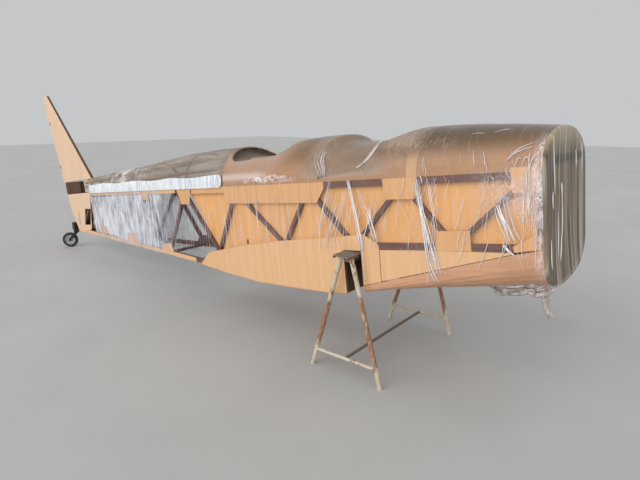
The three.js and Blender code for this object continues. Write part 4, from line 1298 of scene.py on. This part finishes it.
# Nose folds, white as painted highlight: station and shift to port, thickness, and share of the fold width
NOSE_FOLD_STATION, NOSE_FOLD_SHIFT, NOSE_FOLD_THICK, NOSE_FOLD_SHARE = -0.02, 0.012, 0.003, 1.7

# Folds along each route of the gathered end, their sway and sag, thickness, and the seed
BUNCH_FOLDS, BUNCH_SWAY, BUNCH_SAG, BUNCH_THICK, BUNCH_SEED = 4, 0.012, 0.008, 0.006, 5


def strands(draw, width):
    """Routes of the gathered strands, each shifted and bowed a little, with the widths of their folds."""
    for count, reach, share, route in STRANDS:
        for _ in range(count):
            spread = reach * (draw.random() - 0.5)
            bow = 0.4 * reach * (draw.random() - 0.5)
            shifted = []
            for k, (station, z) in enumerate(route):
                fanned = station + spread * (0.7 + 0.6 * k / len(route))
                shifted.append((fanned + bow * math.sin(math.pi * k / (len(route) - 1)), z))
            yield shifted, width * share * draw.choice((0.6, 0.8, 1.1, 1.7))


def strays(draw, width, percent):
    """Routes of the stray folds, each from a random place downwards, with their widths."""
    for count, fore, aft, top, bottom, lean, longest in STRAYS:
        for _ in range(round(count * percent / 100)):
            station, start = draw.uniform(fore, aft), draw.uniform(bottom * 0.6, top)
            drop = longest * draw.uniform(0.3, 1.0)
            end = max(lerp(KEEL, station) + 0.03, bottom, start - drop)
            slant = lean * draw.uniform(0.5, 1.5) * (start - end)
            bow = draw.uniform(-0.012, 0.012)
            route = [(station, start), (station + slant / 2 + bow, (start + end) / 2), (station + slant, end)]
            yield route, width * draw.uniform(0.4, 1.1)


class GLIDER_OT_film_folds(bpy.types.Operator):
    """Adds the gathered strands and the thin stray folds of the film."""

    bl_idname = "glider.film_folds"
    bl_label = "Film folds"

    def execute(self, context):
        s = context.scene.glider_film
        material = white_film("film_folds")
        lift = s.lift + FOLD_LIFT
        for word, side in SIDES.items():
            draw = random.Random(FOLD_SEED + side)
            folds = [side_fold(side, *strand, lift, 14, STRAND_THICK) for strand in strands(draw, s.fold)]
            folds += [side_fold(side, route, 1.1 * s.fold, lift) for route in ARCS]
            folds += [side_fold(side, *stray, lift, 8) for stray in strays(draw, s.fold, s.strays)]
            solid_piece(f"film_folds_{word}", folds, material, smooth=True)
        self.nose(s.fold)
        self.bunch()
        return {"FINISHED"}

    def nose(self, width):
        """Bright upright folds across the open nose, their white a painted highlight."""
        forward = (hull(-1, 0, 0) - hull(0, 0, 0)).normalized()
        folds = []
        for route, share in NOSE_HIGHLIGHT_FOLDS:
            flat = curve_points(route, 12)
            points = [hull(NOSE_FOLD_STATION, y + NOSE_FOLD_SHIFT, z) for y, z in flat]
            normals = [forward] * len(points)
            folds.append(fold(points, normals, NOSE_FOLD_SHARE * width * share, NOSE_FOLD_THICK))
        solid_piece("film_folds_nose", folds, white_film("film_glint"), smooth=True)

    def bunch(self):
        """The loose end of the film, gathered under the near corner of the nose."""
        draw = random.Random(BUNCH_SEED)
        outward = (hull(0, -1, 0) - hull(0, 0, 0)).normalized()
        folds = []
        for route, width in BUNCH:
            for _ in range(BUNCH_FOLDS):
                sway, phase = draw.uniform(-BUNCH_SWAY, BUNCH_SWAY), draw.uniform(0, 6)
                shifted = [(station + sway, y, z + BUNCH_SAG * math.sin(2.5 * k + phase))
                           for k, (station, y, z) in enumerate(route)]
                points = [hull(*place) for place in curve_points(shifted, 16)]
                normals = [outward] * len(points)
                folds.append(fold(points, normals, width * draw.uniform(0.4, 1.1), BUNCH_THICK))
        solid_piece("film_bunch", folds, white_film("film_bunch"), smooth=True)


class GLIDER_PT_parts(bpy.types.Panel):
    """Shows the glider's settings and the buttons that make its pieces."""

    bl_idname = "GLIDER_PT_parts"
    bl_label = "Glider Fuselage"
    bl_space_type = "VIEW_3D"
    bl_region_type = "UI"
    bl_category = "Glider"

    def draw(self, context):
        for group in SETTINGS:
            box = self.layout.box()
            settings = getattr(context.scene, group)
            for name in settings.bl_rna.properties.keys():
                if name not in ("rna_type", "name"):
                    box.prop(settings, name)
        for operator in OPERATORS:
            self.layout.operator(operator.bl_idname)


SETTINGS = {"glider_woods": GliderWoods, "glider_film": GliderFilm, "glider_studio": GliderStudio}
OPERATORS = [
    GLIDER_OT_studio, GLIDER_OT_finishes, GLIDER_OT_aft_plates, GLIDER_OT_details, GLIDER_OT_film,
    GLIDER_OT_film_band, GLIDER_OT_film_folds,
]
CLASSES = [*SETTINGS.values(), *OPERATORS, GLIDER_PT_parts]


def register():
    for cls in CLASSES:
        bpy.utils.register_class(cls)
    for name, cls in SETTINGS.items():
        setattr(bpy.types.Scene, name, PointerProperty(type=cls))


def unregister():
    for name in SETTINGS:
        delattr(bpy.types.Scene, name)
    for cls in reversed(CLASSES):
        bpy.utils.unregister_class(cls)


def main():
    register()
    for operator in OPERATORS:
        group, call = operator.bl_idname.split(".")
        getattr(getattr(bpy.ops, group), call)()
    boxes = {"cad_box": CAD_BOX, "visual_box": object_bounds()}
    sizes = {name: [list(corner) for corner in box] for name, box in boxes.items()}


if __name__ == "__main__":
    main()
